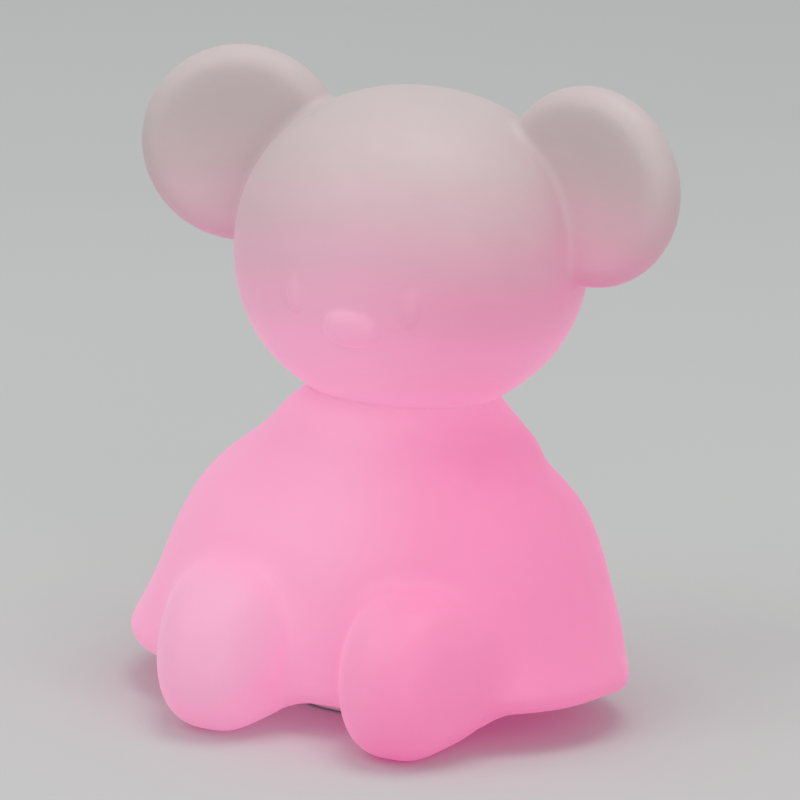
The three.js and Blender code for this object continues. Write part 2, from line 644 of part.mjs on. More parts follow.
function strapSolid() {
  const inner = CELL_SIDE / 2 + SEAT_GAP;
  const outer = inner + STRAP_THICKNESS;
  const top = PLATE_BOTTOM_Z - SEAT_GAP;
  const band = block(2 * outer, STRAP_WIDTH, STRAP_BOTTOM_Z, top);
  const room = block(2 * inner, STRAP_WIDTH + CUT_OVERRUN, CELL_BOTTOM_Z - SEAT_GAP, top + CUT_OVERRUN);
  return band.subtract(room);
}

function foamGeometry() {
  return blockGeometry(PAD_FOAM_SIDE, PAD_FOAM_SIDE, CELL_TOP_Z + SEAT_GAP, PLATE_BOTTOM_Z - SEAT_GAP);
}

function plugGeometry() {
  return blockGeometry(PLUG_WIDTH, PLUG_DEPTH, BOARD_TOP_Z + SOLDER_GAP, PLUG_TOP_Z, 0, PLUG_Y);
}

// A lead leaves the cell's side and bends down into the plug
function leadGeometry(side) {
  const x = (side * LEAD_SPACING) / 2;
  const level = PLUG_TOP_Z + LEAD_ABOVE_PLUG;
  const start = CELL_SIDE / 2 + SEAT_GAP;
  const path = new THREE.QuadraticBezierCurve3(
    new THREE.Vector3(x, start, level),
    new THREE.Vector3(x, PLUG_Y, level),
    new THREE.Vector3(x, PLUG_Y, PLUG_TOP_Z + SEAT_GAP),
  );
  const section = new THREE.Shape();
  section.absarc(0, 0, LEAD_RADIUS, 0, 2 * Math.PI);
  return new THREE.ExtrudeGeometry(section, {
    steps: LEAD_STEPS,
    extrudePath: path,
    curveSegments: CORNER_FACETS,
  });
}

// The flat cable climbs beside the cell and steps in under the light board
function cableGeometry() {
  const half = CABLE_THICKNESS / 2;
  const bendZ = (CELL_TOP_Z + PLATE_BOTTOM_Z) / 2;
  const low = BOARD_TOP_Z + SOLDER_GAP;
  const high = LIGHT_BOARD_BOTTOM_Z - SOLDER_GAP;
  const side = -(CELL_SIDE / 2 + SEAT_GAP + half);
  const top = CABLE_TOP_X;
  const outline = new THREE.Shape([
    new THREE.Vector2(side - half, low),
    new THREE.Vector2(side + half, low),
    new THREE.Vector2(side + half, bendZ - half),
    new THREE.Vector2(top + half, bendZ - half),
    new THREE.Vector2(top + half, high),
    new THREE.Vector2(top - half, high),
    new THREE.Vector2(top - half, bendZ + half),
    new THREE.Vector2(side - half, bendZ + half),
  ]);
  const shape = new THREE.ExtrudeGeometry(outline, { depth: CABLE_WIDTH, bevelEnabled: false });
  shape.rotateX(Math.PI / 2);
  shape.translate(0, CABLE_Y + CABLE_WIDTH / 2, 0);
  return shape;
}

// A lamp: a square body with a round lens pocket on top
function lampSolid(x, y) {
  const bottom = LIGHT_BOARD_TOP_Z + SOLDER_GAP;
  const top = bottom + LAMP_HEIGHT;
  const body = block(LAMP_SIDE, LAMP_SIDE, bottom, top, x, y);
  const pocket = disc(LAMP_LENS_RADIUS, top - LAMP_LENS_DEPTH, top + CUT_OVERRUN, x, y, SMALL_FACETS);
  return body.subtract(pocket);
}

// The diffuser: a thin dome, open below, on a flange that the screws hold
function diffuserSolid() {
  const bottom = LIGHT_BOARD_BOTTOM_Z;
  const flangeTop = bottom + DIFFUSER_FLANGE_THICKNESS;
  const rise = DIFFUSER_HEIGHT - DIFFUSER_FLANGE_THICKNESS;
  const dome = (inset) => ellipsoid(DIFFUSER_RADIUS - inset, DIFFUSER_RADIUS - inset, rise - inset,
    0, 0, flangeTop, ROUND_FACETS, DOME_RINGS);
  const inner = DIFFUSER_RADIUS - DIFFUSER_WALL;
  const outside = dome(0).add(disc(DIFFUSER_FLANGE_RADIUS, bottom, flangeTop));
  const under = disc(DIFFUSER_FLANGE_RADIUS, bottom - rise, bottom);
  const room = dome(DIFFUSER_WALL).add(disc(inner, bottom - CUT_OVERRUN, flangeTop));
  const holes = screwPlaces().map(([x, y]) => disc(SCREW_RADIUS + SEAT_GAP,
    bottom - CUT_OVERRUN, flangeTop + CUT_OVERRUN, x, y, SMALL_FACETS));
  return cut(outside, [under, room, ...holes]);
}

// Materials
function surface(color, roughness, metalness = 0) {
  return () => new THREE.MeshStandardMaterial({ color, roughness, metalness });
}

const silicone = surface(0xf6b4cf, 0.5);
const whitePlastic = surface(0xf1f0ec, 0.45);
const greyRubber = surface(0x8a8c90, 0.9);
const greenBoard = surface(0x1f6b45, 0.6);
const whiteBoard = surface(0xf4f4f0, 0.5);
const steel = surface(0xb9bcc0, 0.35, 1);
const blackPlastic = surface(0x1b1c1e, 0.5);
const cellFoil = surface(0xc9ccd1, 0.4, 0.6);
const foam = surface(0x3a3b3d, 0.95);
const redWire = surface(0xb3201e, 0.5);
const blackWire = surface(0x202022, 0.5);
const lampBody = surface(0xfbf8e6, 0.4);

// The assembly
const figure = new THREE.Group();
const base = new THREE.Group();
base.position.y = BASE_Y;
figure.add(base);

function place(group, name, shape, material) {
  const geometry = shape.isBufferGeometry ? shape : toGeometry(shape);
  const mesh = new THREE.Mesh(geometry, material());
  mesh.name = name;
  group.add(mesh);
}

place(figure, 'silicone_skin', skinSolid(), silicone);
place(base, 'base_housing', housingSolid(), whitePlastic);
place(base, 'clamp_ring', clampSolid(), whitePlastic);
place(base, 'bottom_cover', coverSolid(), whitePlastic);
place(base, 'control_board', boardSolid(), greenBoard);
place(base, 'usb_socket', socketSolid(), steel);
place(base, 'driver_chip', blockGeometry(CHIP_WIDTH, CHIP_LENGTH, BOARD_TOP_Z + SOLDER_GAP,
  BOARD_TOP_Z + SOLDER_GAP + CHIP_HEIGHT, CHIP_X, CHIP_Y), blackPlastic);
place(base, 'tap_sensor', discGeometry(TAP_RADIUS, BOARD_TOP_Z + SOLDER_GAP,
  BOARD_TOP_Z + SOLDER_GAP + TAP_HEIGHT, TAP_X, TAP_Y, SMALL_FACETS), steel);
place(base, 'mode_button', buttonSolid(), whitePlastic);
place(base, 'tact_switch', tactGeometry(), blackPlastic);
place(base, 'power_knob', knobSolid(), blackPlastic);
place(base, 'slide_switch_body', slideBodyGeometry(), steel);
place(base, 'battery_cell', cellGeometry(), cellFoil);
place(base, 'battery_strap', strapSolid(), whitePlastic);
place(base, 'battery_foam', foamGeometry(), foam);
place(base, 'battery_plug', plugGeometry(), whitePlastic);
place(base, 'battery_lead_red', leadGeometry(-1), redWire);
place(base, 'battery_lead_black', leadGeometry(1), blackWire);
place(base, 'light_board',
  disc(LIGHT_BOARD_RADIUS, LIGHT_BOARD_BOTTOM_Z, LIGHT_BOARD_TOP_Z), whiteBoard);
place(base, 'light_cable', cableGeometry(), blackWire);
place(base, 'light_diffuser', diffuserSolid(), whitePlastic);
place(base, 'white_lamp', lampSolid(0, 0), lampBody);
for (let i = 0; i < LAMP_COUNT; i += 1) {
  const angle = (i * 2 * Math.PI) / LAMP_COUNT + Math.PI / 2;
  const x = LAMP_RING_RADIUS * Math.cos(angle);
  const y = LAMP_RING_RADIUS * Math.sin(angle);
  place(base, `colour_lamp_${i + 1}`, lampSolid(x, y), lampBody);
}
screwPlaces().forEach(([x, y], i) => {
  const headUnder = COVER_BOTTOM_Z + COUNTERBORE_DEPTH - SEAT_GAP - SCREW_HEAD_HEIGHT;
  const headOver = LIGHT_BOARD_BOTTOM_Z + DIFFUSER_FLANGE_THICKNESS + SEAT_GAP + SCREW_HEAD_HEIGHT;
  place(base, `cover_screw_${i + 1}`, screwSolid(x, y, headUnder, true), steel);
  place(base, `diffuser_screw_${i + 1}`, screwSolid(x, y, headOver, false), steel);
});
padPlaces().forEach(([x, y], i) => {
  place(base, `grip_pad_${i + 1}`, discGeometry(PAD_RADIUS, 0, COVER_BOTTOM_Z + PAD_SUNK - SEAT_GAP,
    x, y, SMALL_FACETS), greyRubber);
});

// The figure's axis is moved so that the bounding box is centred on the origin
const bounds = new THREE.Box3().setFromObject(figure);
figure.position.y = -bounds.getCenter(new THREE.Vector3()).y;

export default figure;
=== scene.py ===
"""The looks of the silicone bear night light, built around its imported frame.

Lengths are metres in the row frame. The forms of the skin and the base are worked out in
millimetres on their own axes, with the same numbers as the solids, and then moved into it.
"""
import math

import bmesh
import bpy
import numpy as np
from mathutils import Matrix, Vector


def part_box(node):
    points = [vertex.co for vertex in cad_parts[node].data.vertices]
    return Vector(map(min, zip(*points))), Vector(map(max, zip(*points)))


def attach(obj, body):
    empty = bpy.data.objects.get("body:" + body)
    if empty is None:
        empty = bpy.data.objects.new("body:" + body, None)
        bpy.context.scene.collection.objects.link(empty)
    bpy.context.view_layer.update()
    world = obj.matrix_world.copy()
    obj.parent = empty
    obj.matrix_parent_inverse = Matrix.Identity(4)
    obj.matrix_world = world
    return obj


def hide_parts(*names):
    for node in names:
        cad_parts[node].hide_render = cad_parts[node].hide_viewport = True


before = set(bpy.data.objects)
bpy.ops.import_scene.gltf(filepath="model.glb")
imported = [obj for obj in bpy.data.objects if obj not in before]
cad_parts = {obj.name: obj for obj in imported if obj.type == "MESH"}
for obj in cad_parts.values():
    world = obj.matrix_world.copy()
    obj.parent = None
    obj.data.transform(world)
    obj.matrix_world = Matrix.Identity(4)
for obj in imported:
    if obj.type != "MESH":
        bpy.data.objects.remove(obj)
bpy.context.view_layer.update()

MM = 0.001
FIGURE_SHIFT_Y_MM = 14.51

# These keep roots and divisions away from zero
TINY = 1e-9
LEAST_SLOPE = 1e-6
LEAST_SIZE_SLOPE = 1e-3
LEAST_SQUARED_SLOPE = 0.25

# The skin's forms, in millimetres
HEAD_CENTRE = (0, -0.4, 106.1)
HEAD_HALVES = (41.6, 38.7, 38.3)
HEAD_SQUARENESS = 2.1
EAR_HALF_WIDTH = 23.9
EAR_HALF_HEIGHT = 23.4
EAR_FRONT = 11
EAR_BACK = 11.5
EAR_DISH = 7.2
EAR_DISH_SHARE = 0.86
EAR_RIM_SOFTNESS = 0.22
EAR_CENTRE = (43.5, -1.5, 126.6)
EAR_TURN = math.radians(14.5)
EYE_HALVES = (2.2, 1.8, 4.9)
EYE_SQUARENESS = 2
EYE_PLACE = (13.9, 101.3)
EYE_BURIED = 1
NOSE_HALVES = (7, 4.8, 4.9)
NOSE_SQUARENESS = 2.3
NOSE_Z = 95
NOSE_BURIED = 2.2
BODY_HALF_WIDTH = 59.8
BODY_FRONT_DEPTH = 46.8
BODY_BACK_DEPTH = 33
BODY_Y = -2.2
BODY_BOTTOM_Z = 4.4
BODY_TOP_Z = 82
BODY_SQUARENESS = (2.65, 2)
BODY_BACK_SQUARENESS = 2
# Each row: height, half width, front depth and back depth, as shares of the body's own
BODY_SHARES = (
    (0, 0.66, 0.715, 0.6),
    (0.014, 0.76, 0.807, 0.72),
    (0.028, 0.86, 0.889, 0.83),
    (0.043, 0.94, 0.94, 0.9),
    (0.06, 0.985, 0.976, 0.94),
    (0.084, 1, 0.995, 0.97),
    (0.125, 0.995, 1, 0.99),
    (0.2, 0.965, 1, 1),
    (0.27, 0.928, 0.99, 1),
    (0.345, 0.895, 0.97, 0.99),
    (0.42, 0.863, 0.945, 0.965),
    (0.495, 0.825, 0.895, 0.92),
    (0.565, 0.777, 0.82, 0.87),
    (0.63, 0.71, 0.74, 0.82),
    (0.69, 0.622, 0.67, 0.785),
    (0.74, 0.545, 0.6, 0.765),
    (0.82, 0.46, 0.51, 0.72),
    (0.91, 0.345, 0.405, 0.63),
    (1, 0.24, 0.32, 0.5),
)
FOOT_HALVES = (17.7, 23.4, 19.4)
FOOT_CENTRE = (22.7, -43.87, 18.4)
FOOT_PLAN_SQUARENESS = 3.1
FOOT_SQUARENESS = (2, 2.45)
FOOT_SPREAD = 0.36
FOOT_LEAN = 0.2

# Small swells of the flanks: height, reach up and down, and how far out in front and behind
FLANK_SWELLS = ((63, 3.5, 0, 1.1), (57, 4.5, 0, -0.6), (15, 6, 0, -1.0), (12.5, 4, 0.8, 0))
FLANK_SHARES = (0.5, 0.8)
FLANK_Y = (-7, 3)
FLANK_END_Y = (6, 24)

# The crease on the chest, under which the shoulders begin
CREASE_LOW_Z = 63
CREASE_RISE = 6.6
CREASE_HALF_SPAN = 22
CREASE_DEPTH = 0.4
CREASE_SOFTNESS = 3.5
CREASE_FADE = (20, 32)
CREASE_SHADE_REACH = 5

# The hem hangs a little between the feet
HEM_SAG = 0.6
HEM_SAG_SPAN = (8, 24)

# Beside the feet the hem rises a little, which fades out behind and further up
HEM_LIFT = 1.4
HEM_LIFT_X = (24, 34)
HEM_LIFT_Y = (-16, 0)
HEM_LIFT_Z = (8, 24)

# The round front of each foot, painted paler on the -x foot: a painted highlight
TOE_MIDDLE = (22.2, 23)
TOE_RADIUS = (12, 16)
TOE_BACK_Y = -48
TOE_PAINTED_HIGHLIGHT_STRENGTH = 0.15

# Radii of the soft joints between the forms
NECK_BLEND = 1.0
EAR_BLEND = 2.5
FOOT_BLEND = 4
FACE_BLEND = 0.7

# The base's room in the skin
SKIN_WALL = 2.5
BASE_Y = -2
RECESS_RADIUS = 26.5
RECESS_TOP_Z = 9.5
OPENING_RADIUS = 22.8
OPENING_TOP_Z = 12.3
LIP_TOP_Z = 12
NOTCH_HALF_WIDTH = 7.5
NOTCH_FRONT_Y = 20.5

VOXEL_MM = 1.0
GRID_LOW = (-70, -71, -2)
GRID_HIGH = (70, 42, 153)
PROJECTION_STEPS = 3
GRADIENT_STEP = 0.05
SIZE_STEP = 0.2


def soft_min(a, b, radius):
    meet = np.maximum(radius - np.abs(a - b), 0) / radius
    return np.minimum(a, b) - meet * meet * radius / 4


def smooth_step(value, low, high):
    t = np.clip((value - low) / (high - low), 0, 1)
    return t * t * (3 - 2 * t)


def super_distance(x, y, z, halves, power):
    """Nearly the distance from a form between an ellipsoid and a box."""
    parts = [np.abs(v / h) for v, h in zip((x, y, z), halves)]
    total = np.maximum(sum(p**power for p in parts), TINY)
    size = total ** (1 / power)
    slope = np.sqrt(sum((p ** (power - 1) / h) ** 2 for p, h in zip(parts, halves)))
    slope = slope * total ** (1 / power - 1)
    return (size - 1) / np.maximum(slope, LEAST_SLOPE)


def head_distance(x, y, z):
    x, y, z = (v - c for v, c in zip((x, y, z), HEAD_CENTRE))
    return super_distance(x, y, z, HEAD_HALVES, HEAD_SQUARENESS)


def head_front_y(x, z):
    """Where the front of the head lies at a place on the face."""
    a, b, c = HEAD_HALVES
    left = 1 - abs(x / a) ** HEAD_SQUARENESS - abs((z - HEAD_CENTRE[2]) / c) ** HEAD_SQUARENESS
    return HEAD_CENTRE[1] - b * left ** (1 / HEAD_SQUARENESS)


def ear_distance(x, y, z):
    """Both ears at once: thick round discs with a dish in the front."""
    side = np.where(x < 0, -1.0, 1.0)
    turn = side * EAR_TURN
    x = x - side * EAR_CENTRE[0]
    y, z = y - EAR_CENTRE[1], z - EAR_CENTRE[2]
    across = x * np.cos(turn) - y * np.sin(turn)
    depth = x * np.sin(turn) + y * np.cos(turn)
    radius = np.sqrt((across / EAR_HALF_WIDTH) ** 2 + (z / EAR_HALF_HEIGHT) ** 2)
    rise = 1 - (radius / EAR_DISH_SHARE) ** 2
    dish = EAR_DISH * (rise + np.hypot(rise, EAR_RIM_SOFTNESS)) / 2
    front = depth < 0
    depth = np.where(front, depth - dish, depth)
    thickness = np.where(front, EAR_FRONT, EAR_BACK)
    size = np.sqrt(radius**2 + (depth / thickness) ** 2 + TINY)
    slope = np.sqrt((radius / EAR_HALF_WIDTH) ** 2 + (depth / thickness**2) ** 2) / size
    return (size - 1) / np.maximum(slope, LEAST_SLOPE)


def body_rows(z):
    """Half width, front depth, back depth and front squareness at a height."""
    rows = np.array(BODY_SHARES)
    level = np.clip((z - BODY_BOTTOM_Z) / (BODY_TOP_Z - BODY_BOTTOM_Z), 0, 1)
    levels = rows[:, 0]
    k = np.clip(np.searchsorted(levels, level, side="right") - 1, 0, len(levels) - 2)
    span = levels[k + 1] - levels[k]
    t = (level - levels[k]) / span
    shares = []
    for column in rows.T[1:]:
        slopes = np.gradient(column, levels)
        shares.append(
            column[k] * (1 + 2 * t) * (1 - t) ** 2 + column[k + 1] * t * t * (3 - 2 * t)
            + span * (slopes[k] * t * (1 - t) ** 2 - slopes[k + 1] * t * t * (1 - t)))
    low, high = BODY_SQUARENESS
    halves = (BODY_HALF_WIDTH, BODY_FRONT_DEPTH, BODY_BACK_DEPTH)
    return [half * share for half, share in zip(halves, shares)] + [low + (high - low) * level]


def body_size(x, y, z):
    """A measure of the body's form: negative inside, zero on its surface."""
    width, front, back, power = body_rows(z)
    y = y - BODY_Y
    ahead = y < 0
    depth = np.where(ahead, front, back)
    power = np.where(ahead, power, BODY_BACK_SQUARENESS)
    return (np.abs(x / width) ** power + np.abs(y / depth) ** power + TINY) ** (1 / power) - 1


def true_distance(size_of, x, y, z):
    """Nearly the distance from the surface where a form's size measure is zero."""
    size = size_of(x, y, z)
    steps = ((SIZE_STEP, 0, 0), (0, SIZE_STEP, 0), (0, 0, SIZE_STEP))
    slopes = [(size_of(x + u, y + v, z + w) - size) / SIZE_STEP for u, v, w in steps]
    return size / np.maximum(np.sqrt(sum(slope**2 for slope in slopes)), LEAST_SIZE_SLOPE)


def body_distance(x, y, z):
    """The body with its swells, crease and hem, cut off level below and inside the head."""
    beside = smooth_step(np.abs(x), *HEM_LIFT_X) * (1 - smooth_step(y, *HEM_LIFT_Y))
    z = z - HEM_LIFT * beside * (1 - smooth_step(z, *HEM_LIFT_Z))
    side = true_distance(body_size, x, y, z)
    flank = smooth_step(np.abs(x) / body_rows(z)[0], *FLANK_SHARES)
    flank = flank * (1 - smooth_step(y, *FLANK_END_Y))
    behind = smooth_step(y, *FLANK_Y)
    for height, reach, before, after in FLANK_SWELLS:
        swell = before + (after - before) * behind
        side = side - swell * flank * np.exp(-((z - height) / reach) ** 2)
    crease = CREASE_LOW_Z + CREASE_RISE * np.sin(
        math.pi / 2 * np.minimum(np.abs(x), 2 * CREASE_HALF_SPAN) / CREASE_HALF_SPAN
    ) ** 2
    above = smooth_step(z - crease, -CREASE_SOFTNESS / 2, CREASE_SOFTNESS / 2)
    middle = 1 - smooth_step(np.abs(x), *CREASE_FADE)
    side = side + CREASE_DEPTH * above * middle * (y < BODY_Y)
    sag = HEM_SAG * (1 - smooth_step(np.abs(x), *HEM_SAG_SPAN)) * (y < BODY_Y)
    return np.maximum(side, np.maximum(BODY_BOTTOM_Z - sag - z, z - BODY_TOP_Z))


def foot_size(x, y, z):
    """Rounder above its middle than below, wider towards the heel, and leaning back."""
    x, y, z = np.abs(x) - FOOT_CENTRE[0], y - FOOT_CENTRE[1], z - FOOT_CENTRE[2]
    y = (y - FOOT_LEAN * z) / FOOT_HALVES[1]
    x = x / FOOT_HALVES[0] / (1 + FOOT_SPREAD * np.clip(y, -1, 1))
    plan = np.abs(x) ** FOOT_PLAN_SQUARENESS + np.abs(y) ** FOOT_PLAN_SQUARENESS + TINY
    power = np.where(z > 0, FOOT_SQUARENESS[1], FOOT_SQUARENESS[0])
    above = np.abs(z / FOOT_HALVES[2]) ** power
    return (plan ** (power / FOOT_PLAN_SQUARENESS) + above) ** (1 / power) - 1


def outside_distance(x, y, z):
    """The outside of the whole figure, with soft joints between its forms."""
    total = soft_min(head_distance(x, y, z), ear_distance(x, y, z), EAR_BLEND)
    nose = super_distance(
        x, y - head_front_y(0, NOSE_Z) - NOSE_BURIED, z - NOSE_Z, NOSE_HALVES,
        NOSE_SQUARENESS)
    eye_y = head_front_y(*EYE_PLACE) + EYE_BURIED
    eye = super_distance(
        np.abs(x) - EYE_PLACE[0], y - eye_y, z - EYE_PLACE[1], EYE_HALVES, EYE_SQUARENESS)
    total = soft_min(total, np.minimum(nose, eye), FACE_BLEND)
    body = soft_min(body_distance(x, y, z), true_distance(foot_size, x, y, z), FOOT_BLEND)
    return soft_min(total, body, NECK_BLEND)


def skin_distance(x, y, z):
    """The skin: the outside less its cavity and the rooms for the base and the plug."""
    outside = outside_distance(x, y, z)
    from_axis = np.sqrt(x**2 + (y - BASE_Y) ** 2)
    notch_side = np.maximum(np.abs(x) - NOTCH_HALF_WIDTH, NOTCH_FRONT_Y - y)
    keep = np.minimum(from_axis - RECESS_RADIUS, notch_side) - SKIN_WALL
    keep = np.maximum(keep, z - LIP_TOP_Z)
    cavity = np.maximum(outside + SKIN_WALL, np.maximum(SKIN_WALL - z, -keep))
    recess = np.maximum(np.minimum(from_axis - RECESS_RADIUS, notch_side), z - RECESS_TOP_Z)
    opening = np.maximum(from_axis - OPENING_RADIUS, z - OPENING_TOP_Z)
    rooms = np.minimum(cavity, np.minimum(recess, opening))
    return np.maximum(np.maximum(outside, -z), -rooms)


def field_gradient(field, points):
    steps = np.eye(3) * GRADIENT_STEP
    rises = [field(*(points + s).T) - field(*(points - s).T) for s in steps]
    return np.stack(rises, axis=1) / (2 * GRADIENT_STEP)


def surface_net(field, low, high, cell):
    """A closed quad mesh on the surface where the field is zero."""
    axes = [np.arange(a, b + cell, cell) for a, b in zip(low, high)]
    grid = np.stack(np.meshgrid(*axes, indexing="ij"))
    values = field(*grid.reshape(3, -1)).reshape(grid.shape[1:])
    inside = values < 0
    corners = [(i, j, k) for i in (0, 1) for j in (0, 1) for k in (0, 1)]
    size = [n - 1 for n in values.shape]

    def corner(array, c):
        return array[c[0]:c[0] + size[0], c[1]:c[1] + size[1], c[2]:c[2] + size[2]]

    count = sum(corner(inside, c).astype(np.int8) for c in corners)
    active = (count > 0) & (count < len(corners))
    number = np.full(active.shape, -1)
    number[active] = np.arange(active.sum())
    cells = np.argwhere(active)
    at = {c: corner(values, c)[active] for c in corners}
    total = np.zeros((len(cells), 3))
    hits = np.zeros(len(cells))
    for a in corners:
        for axis in range(3):
            if a[axis]:
                continue
            b = tuple(v + (k == axis) for k, v in enumerate(a))
            crossed = (at[a] < 0) != (at[b] < 0)
            share = at[a][crossed] / (at[a][crossed] - at[b][crossed])
            place = np.tile(np.array(a, float), (crossed.sum(), 1))
            place[:, axis] += share
            total[crossed] += place
            hits[crossed] += 1
    points = np.array(low) + cell * (cells + total / hits[:, None])
    faces = []
    for axis in range(3):
        u, v = [k for k in range(3) if k != axis]
        ahead = np.roll(inside, -1, axis)
        change = inside != ahead
        for k, limit in enumerate(values.shape):
            index = [slice(None)] * 3
            index[k] = slice(limit - 1, limit)
            change[tuple(index)] = False
            index[k] = slice(0, 1)
            if k != axis:
                change[tuple(index)] = False
        where = np.argwhere(change)
        quad = []
        for du, dv in ((-1, -1), (0, -1), (0, 0), (-1, 0)):
            spot = where.copy()
            spot[:, u] += du
            spot[:, v] += dv
            quad.append(number[tuple(spot.T)])
        quad = np.stack(quad, axis=1)
        flip = inside[tuple(where.T)] != (axis != 1)
        quad[flip] = quad[flip][:, ::-1]
        faces.append(quad)
    return points, np.concatenate(faces)


def settle(field, points):
    """Moves the points onto the field's surface and gives the directions outwards."""
    for _ in range(PROJECTION_STEPS):
        gradient = field_gradient(field, points)
        value = field(*points.T)
        step = value / np.maximum((gradient**2).sum(axis=1), LEAST_SQUARED_SLOPE)
        points = points - np.clip(step, -VOXEL_MM / 2, VOXEL_MM / 2)[:, None] * gradient
    gradient = field_gradient(field, points)
    length = np.linalg.norm(gradient, axis=1)
    return points, gradient / np.maximum(length, LEAST_SLOPE)[:, None]


def add_object(name, points, faces, material=None):
    mesh = bpy.data.meshes.new(name)
    mesh.from_pydata([tuple(p) for p in points], [], [tuple(f) for f in faces])
    mesh.update()
    mesh.polygons.foreach_set("use_smooth", [True] * len(mesh.polygons))
    if material:
        mesh.materials.append(material)
    piece = bpy.data.objects.new(name, mesh)
    bpy.context.scene.collection.objects.link(piece)
    return piece


# The span in which a noise's values mostly lie, then the noises' scale, detail and roughness
NOISE_SPAN = (0.3, 0.7)
TONE_NOISE = (130, 4)
WORN_NOISE = (320, 3)
WORN_SPREAD = (-0.05, 0.06)
GRAIN_SCALE = 2500
GRAIN_DEPTH = 0.00002
GRAIN_DETAIL = (3, 0.6)
GRAIN_STRENGTH = 0.6
BLACK = (0, 0, 0)


class Graph:
    """A short way to write a material's nodes."""

    def __init__(self, name):
        self.material = bpy.data.materials.new(name)
        self.material.use_nodes = True
        self.tree = self.material.node_tree
        self.shader = self.tree.nodes["Principled BSDF"]
        coordinates = self.add("ShaderNodeTexCoord")
        self.object = coordinates.outputs["Object"]

    def add(self, kind, **settings):
        node = self.tree.nodes.new(kind)
        for key, value in settings.items():
            setattr(node, key, value)
        return node

    def put(self, target, value):
        if isinstance(value, bpy.types.NodeSocket):
            self.tree.links.new(value, target)
        elif target.type == "RGBA":
            target.default_value = (*value, 1)
        elif value is not None:
            target.default_value = value

    def feed(self, node, **values):
        for key, value in values.items():
            self.put(node.inputs[key.replace("_", " ")], value)

    def set(self, **values):
        self.feed(self.shader, **values)

    def math(self, operation, a, b=None, c=None):
        node = self.add("ShaderNodeMath", operation=operation)
        for socket, value in zip(node.inputs, (a, b, c)):
            self.put(socket, value)
        return node.outputs[0]

    def noise(self, scale, detail=3, roughness=0.5, vector=None):
        node = self.add("ShaderNodeTexNoise")
        self.feed(node, Vector=vector or self.object, Scale=scale, Detail=detail,
                  Roughness=roughness)
        return node.outputs["Fac"]

    def stretch(self, scale):
        node = self.add("ShaderNodeMapping")
        self.feed(node, Vector=self.object, Scale=scale)
        return node.outputs["Vector"]

    def range(self, value, low, high, to_low, to_high, smooth=False):
        node = self.add("ShaderNodeMapRange")
        node.interpolation_type = "SMOOTHSTEP" if smooth else "LINEAR"
        for socket, v in zip(node.inputs, (value, low, high, to_low, to_high)):
            self.put(socket, v)
        return node.outputs["Result"]

    def uneven(self, low, high, *noise):
        """A value that wanders between low and high in soft patches."""
        return self.range(self.noise(*noise), *NOISE_SPAN, low, high)

    def mix(self, factor, a, b, blend="MIX"):
        node = self.add("ShaderNodeMix", data_type="RGBA", blend_type=blend)
        self.put(node.inputs[0], factor)
        self.put(node.inputs[6], a)
        self.put(node.inputs[7], b)
        return node.outputs[2]

    def ramp(self, factor, stops):
        node = self.add("ShaderNodeValToRGB")
        self.put(node.inputs[0], factor)
        elements = node.color_ramp.elements
        while len(elements) < len(stops):
            elements.new(0.5)
        for element, (place, colour) in zip(elements, stops):
            element.position = place
            element.color = (*colour, 1)
        node.color_ramp.interpolation = "EASE"
        return node.outputs[0]

    def bump(self, height, distance, strength):
        node = self.add("ShaderNodeBump")
        self.feed(node, Height=height, Distance=distance, Strength=strength)
        self.set(Normal=node.outputs["Normal"])

    def grain(self, scale=GRAIN_SCALE, depth=GRAIN_DEPTH):
        self.bump(self.noise(scale, *GRAIN_DETAIL), depth, GRAIN_STRENGTH)

    def axes(self):
        parts = self.add("ShaderNodeSeparateXYZ")
        self.put(parts.inputs[0], self.object)
        return parts.outputs

    def spot(self, place, inner, outer):
        """1 close to the place, falling to 0 between the two radii."""
        node = self.add("ShaderNodeVectorMath", operation="DISTANCE")
        self.put(node.inputs[0], self.object)
        self.put(node.inputs[1], place)
        return self.range(node.outputs["Value"], inner, outer, 1, 0)

    def share(self, name):
        """The share of an effect that each point of the mesh was given."""
        return self.add("ShaderNodeAttribute", attribute_name=name).outputs["Fac"]

    def toned(self, colour, tone):
        """The colour, a little lighter and darker in soft patches."""
        shade = self.uneven(1 - tone, 1 + tone, *TONE_NOISE)
        return self.mix(1, colour, shade, "MULTIPLY")

    def worn(self, roughness):
        """The roughness, a little lower and higher in soft patches."""
        return self.uneven(*(roughness + more for more in WORN_SPREAD), *WORN_NOISE)


# Silicone: warm white, lit pink from inside. The glow fades from the body to the ears, and
# where it is strong the skin shows less of the room's light. Places are metres
SKIN_WHITE = (0.60, 0.53, 0.52)
SKIN_LIT = (0.42, 0.25, 0.31)
# The glow is painted paler on the -x side and deeper on the +x side: painted light where the
# key light falls, painted shade where the body turns from it
GLOW_WITH_PAINTED_LIGHT = (0.56, 0.155, 0.315)
GLOW_IN_PAINTED_SHADE = (0.535, 0.05, 0.22)
PAINTED_LIGHT_TO_SHADE_X = (-0.008, 0.03)
# Painted light that lifts the chin and neck, which face down into shade
CHIN_PAINTED_LIGHT = (0.57, 0.21, 0.36)
# Each stop: height as a share of the figure's, and the share of the paler painted light on the
# chin there
CHIN_STOPS = ((0.0, 0), (0.43, 0), (0.5, 1), (0.56, 0.9), (0.7, 0))
# Each stop: height as a share of the figure's, and the share of the full glow there
GLOW_STOPS = (
    (0.0, 1), (0.45, 1), (0.53, 0.98), (0.604, 0.92), (0.687, 0.70), (0.763, 0.46),
    (0.833, 0.25), (0.90, 0.10), (0.96, 0.04), (1.0, 0.03),
)
# On the back the painted shade of the deeper side fades in more slowly
PAINTED_SHADE_BACK_X = (-0.06, 0.08)
PAINTED_SHADE_BACK_Y = (-0.01, 0.03)
# A painted highlight on the front of the -x foot
TOE_PAINTED_HIGHLIGHT = (0.2, 0.29, 0.32)
# Painted shade, a deeper pink, in the crease under the head
CREASE_PAINTED_SHADE = 0.5
# The strength of the painted light on the chin
CHIN_PAINTED_LIGHT_SHARE = 0.5
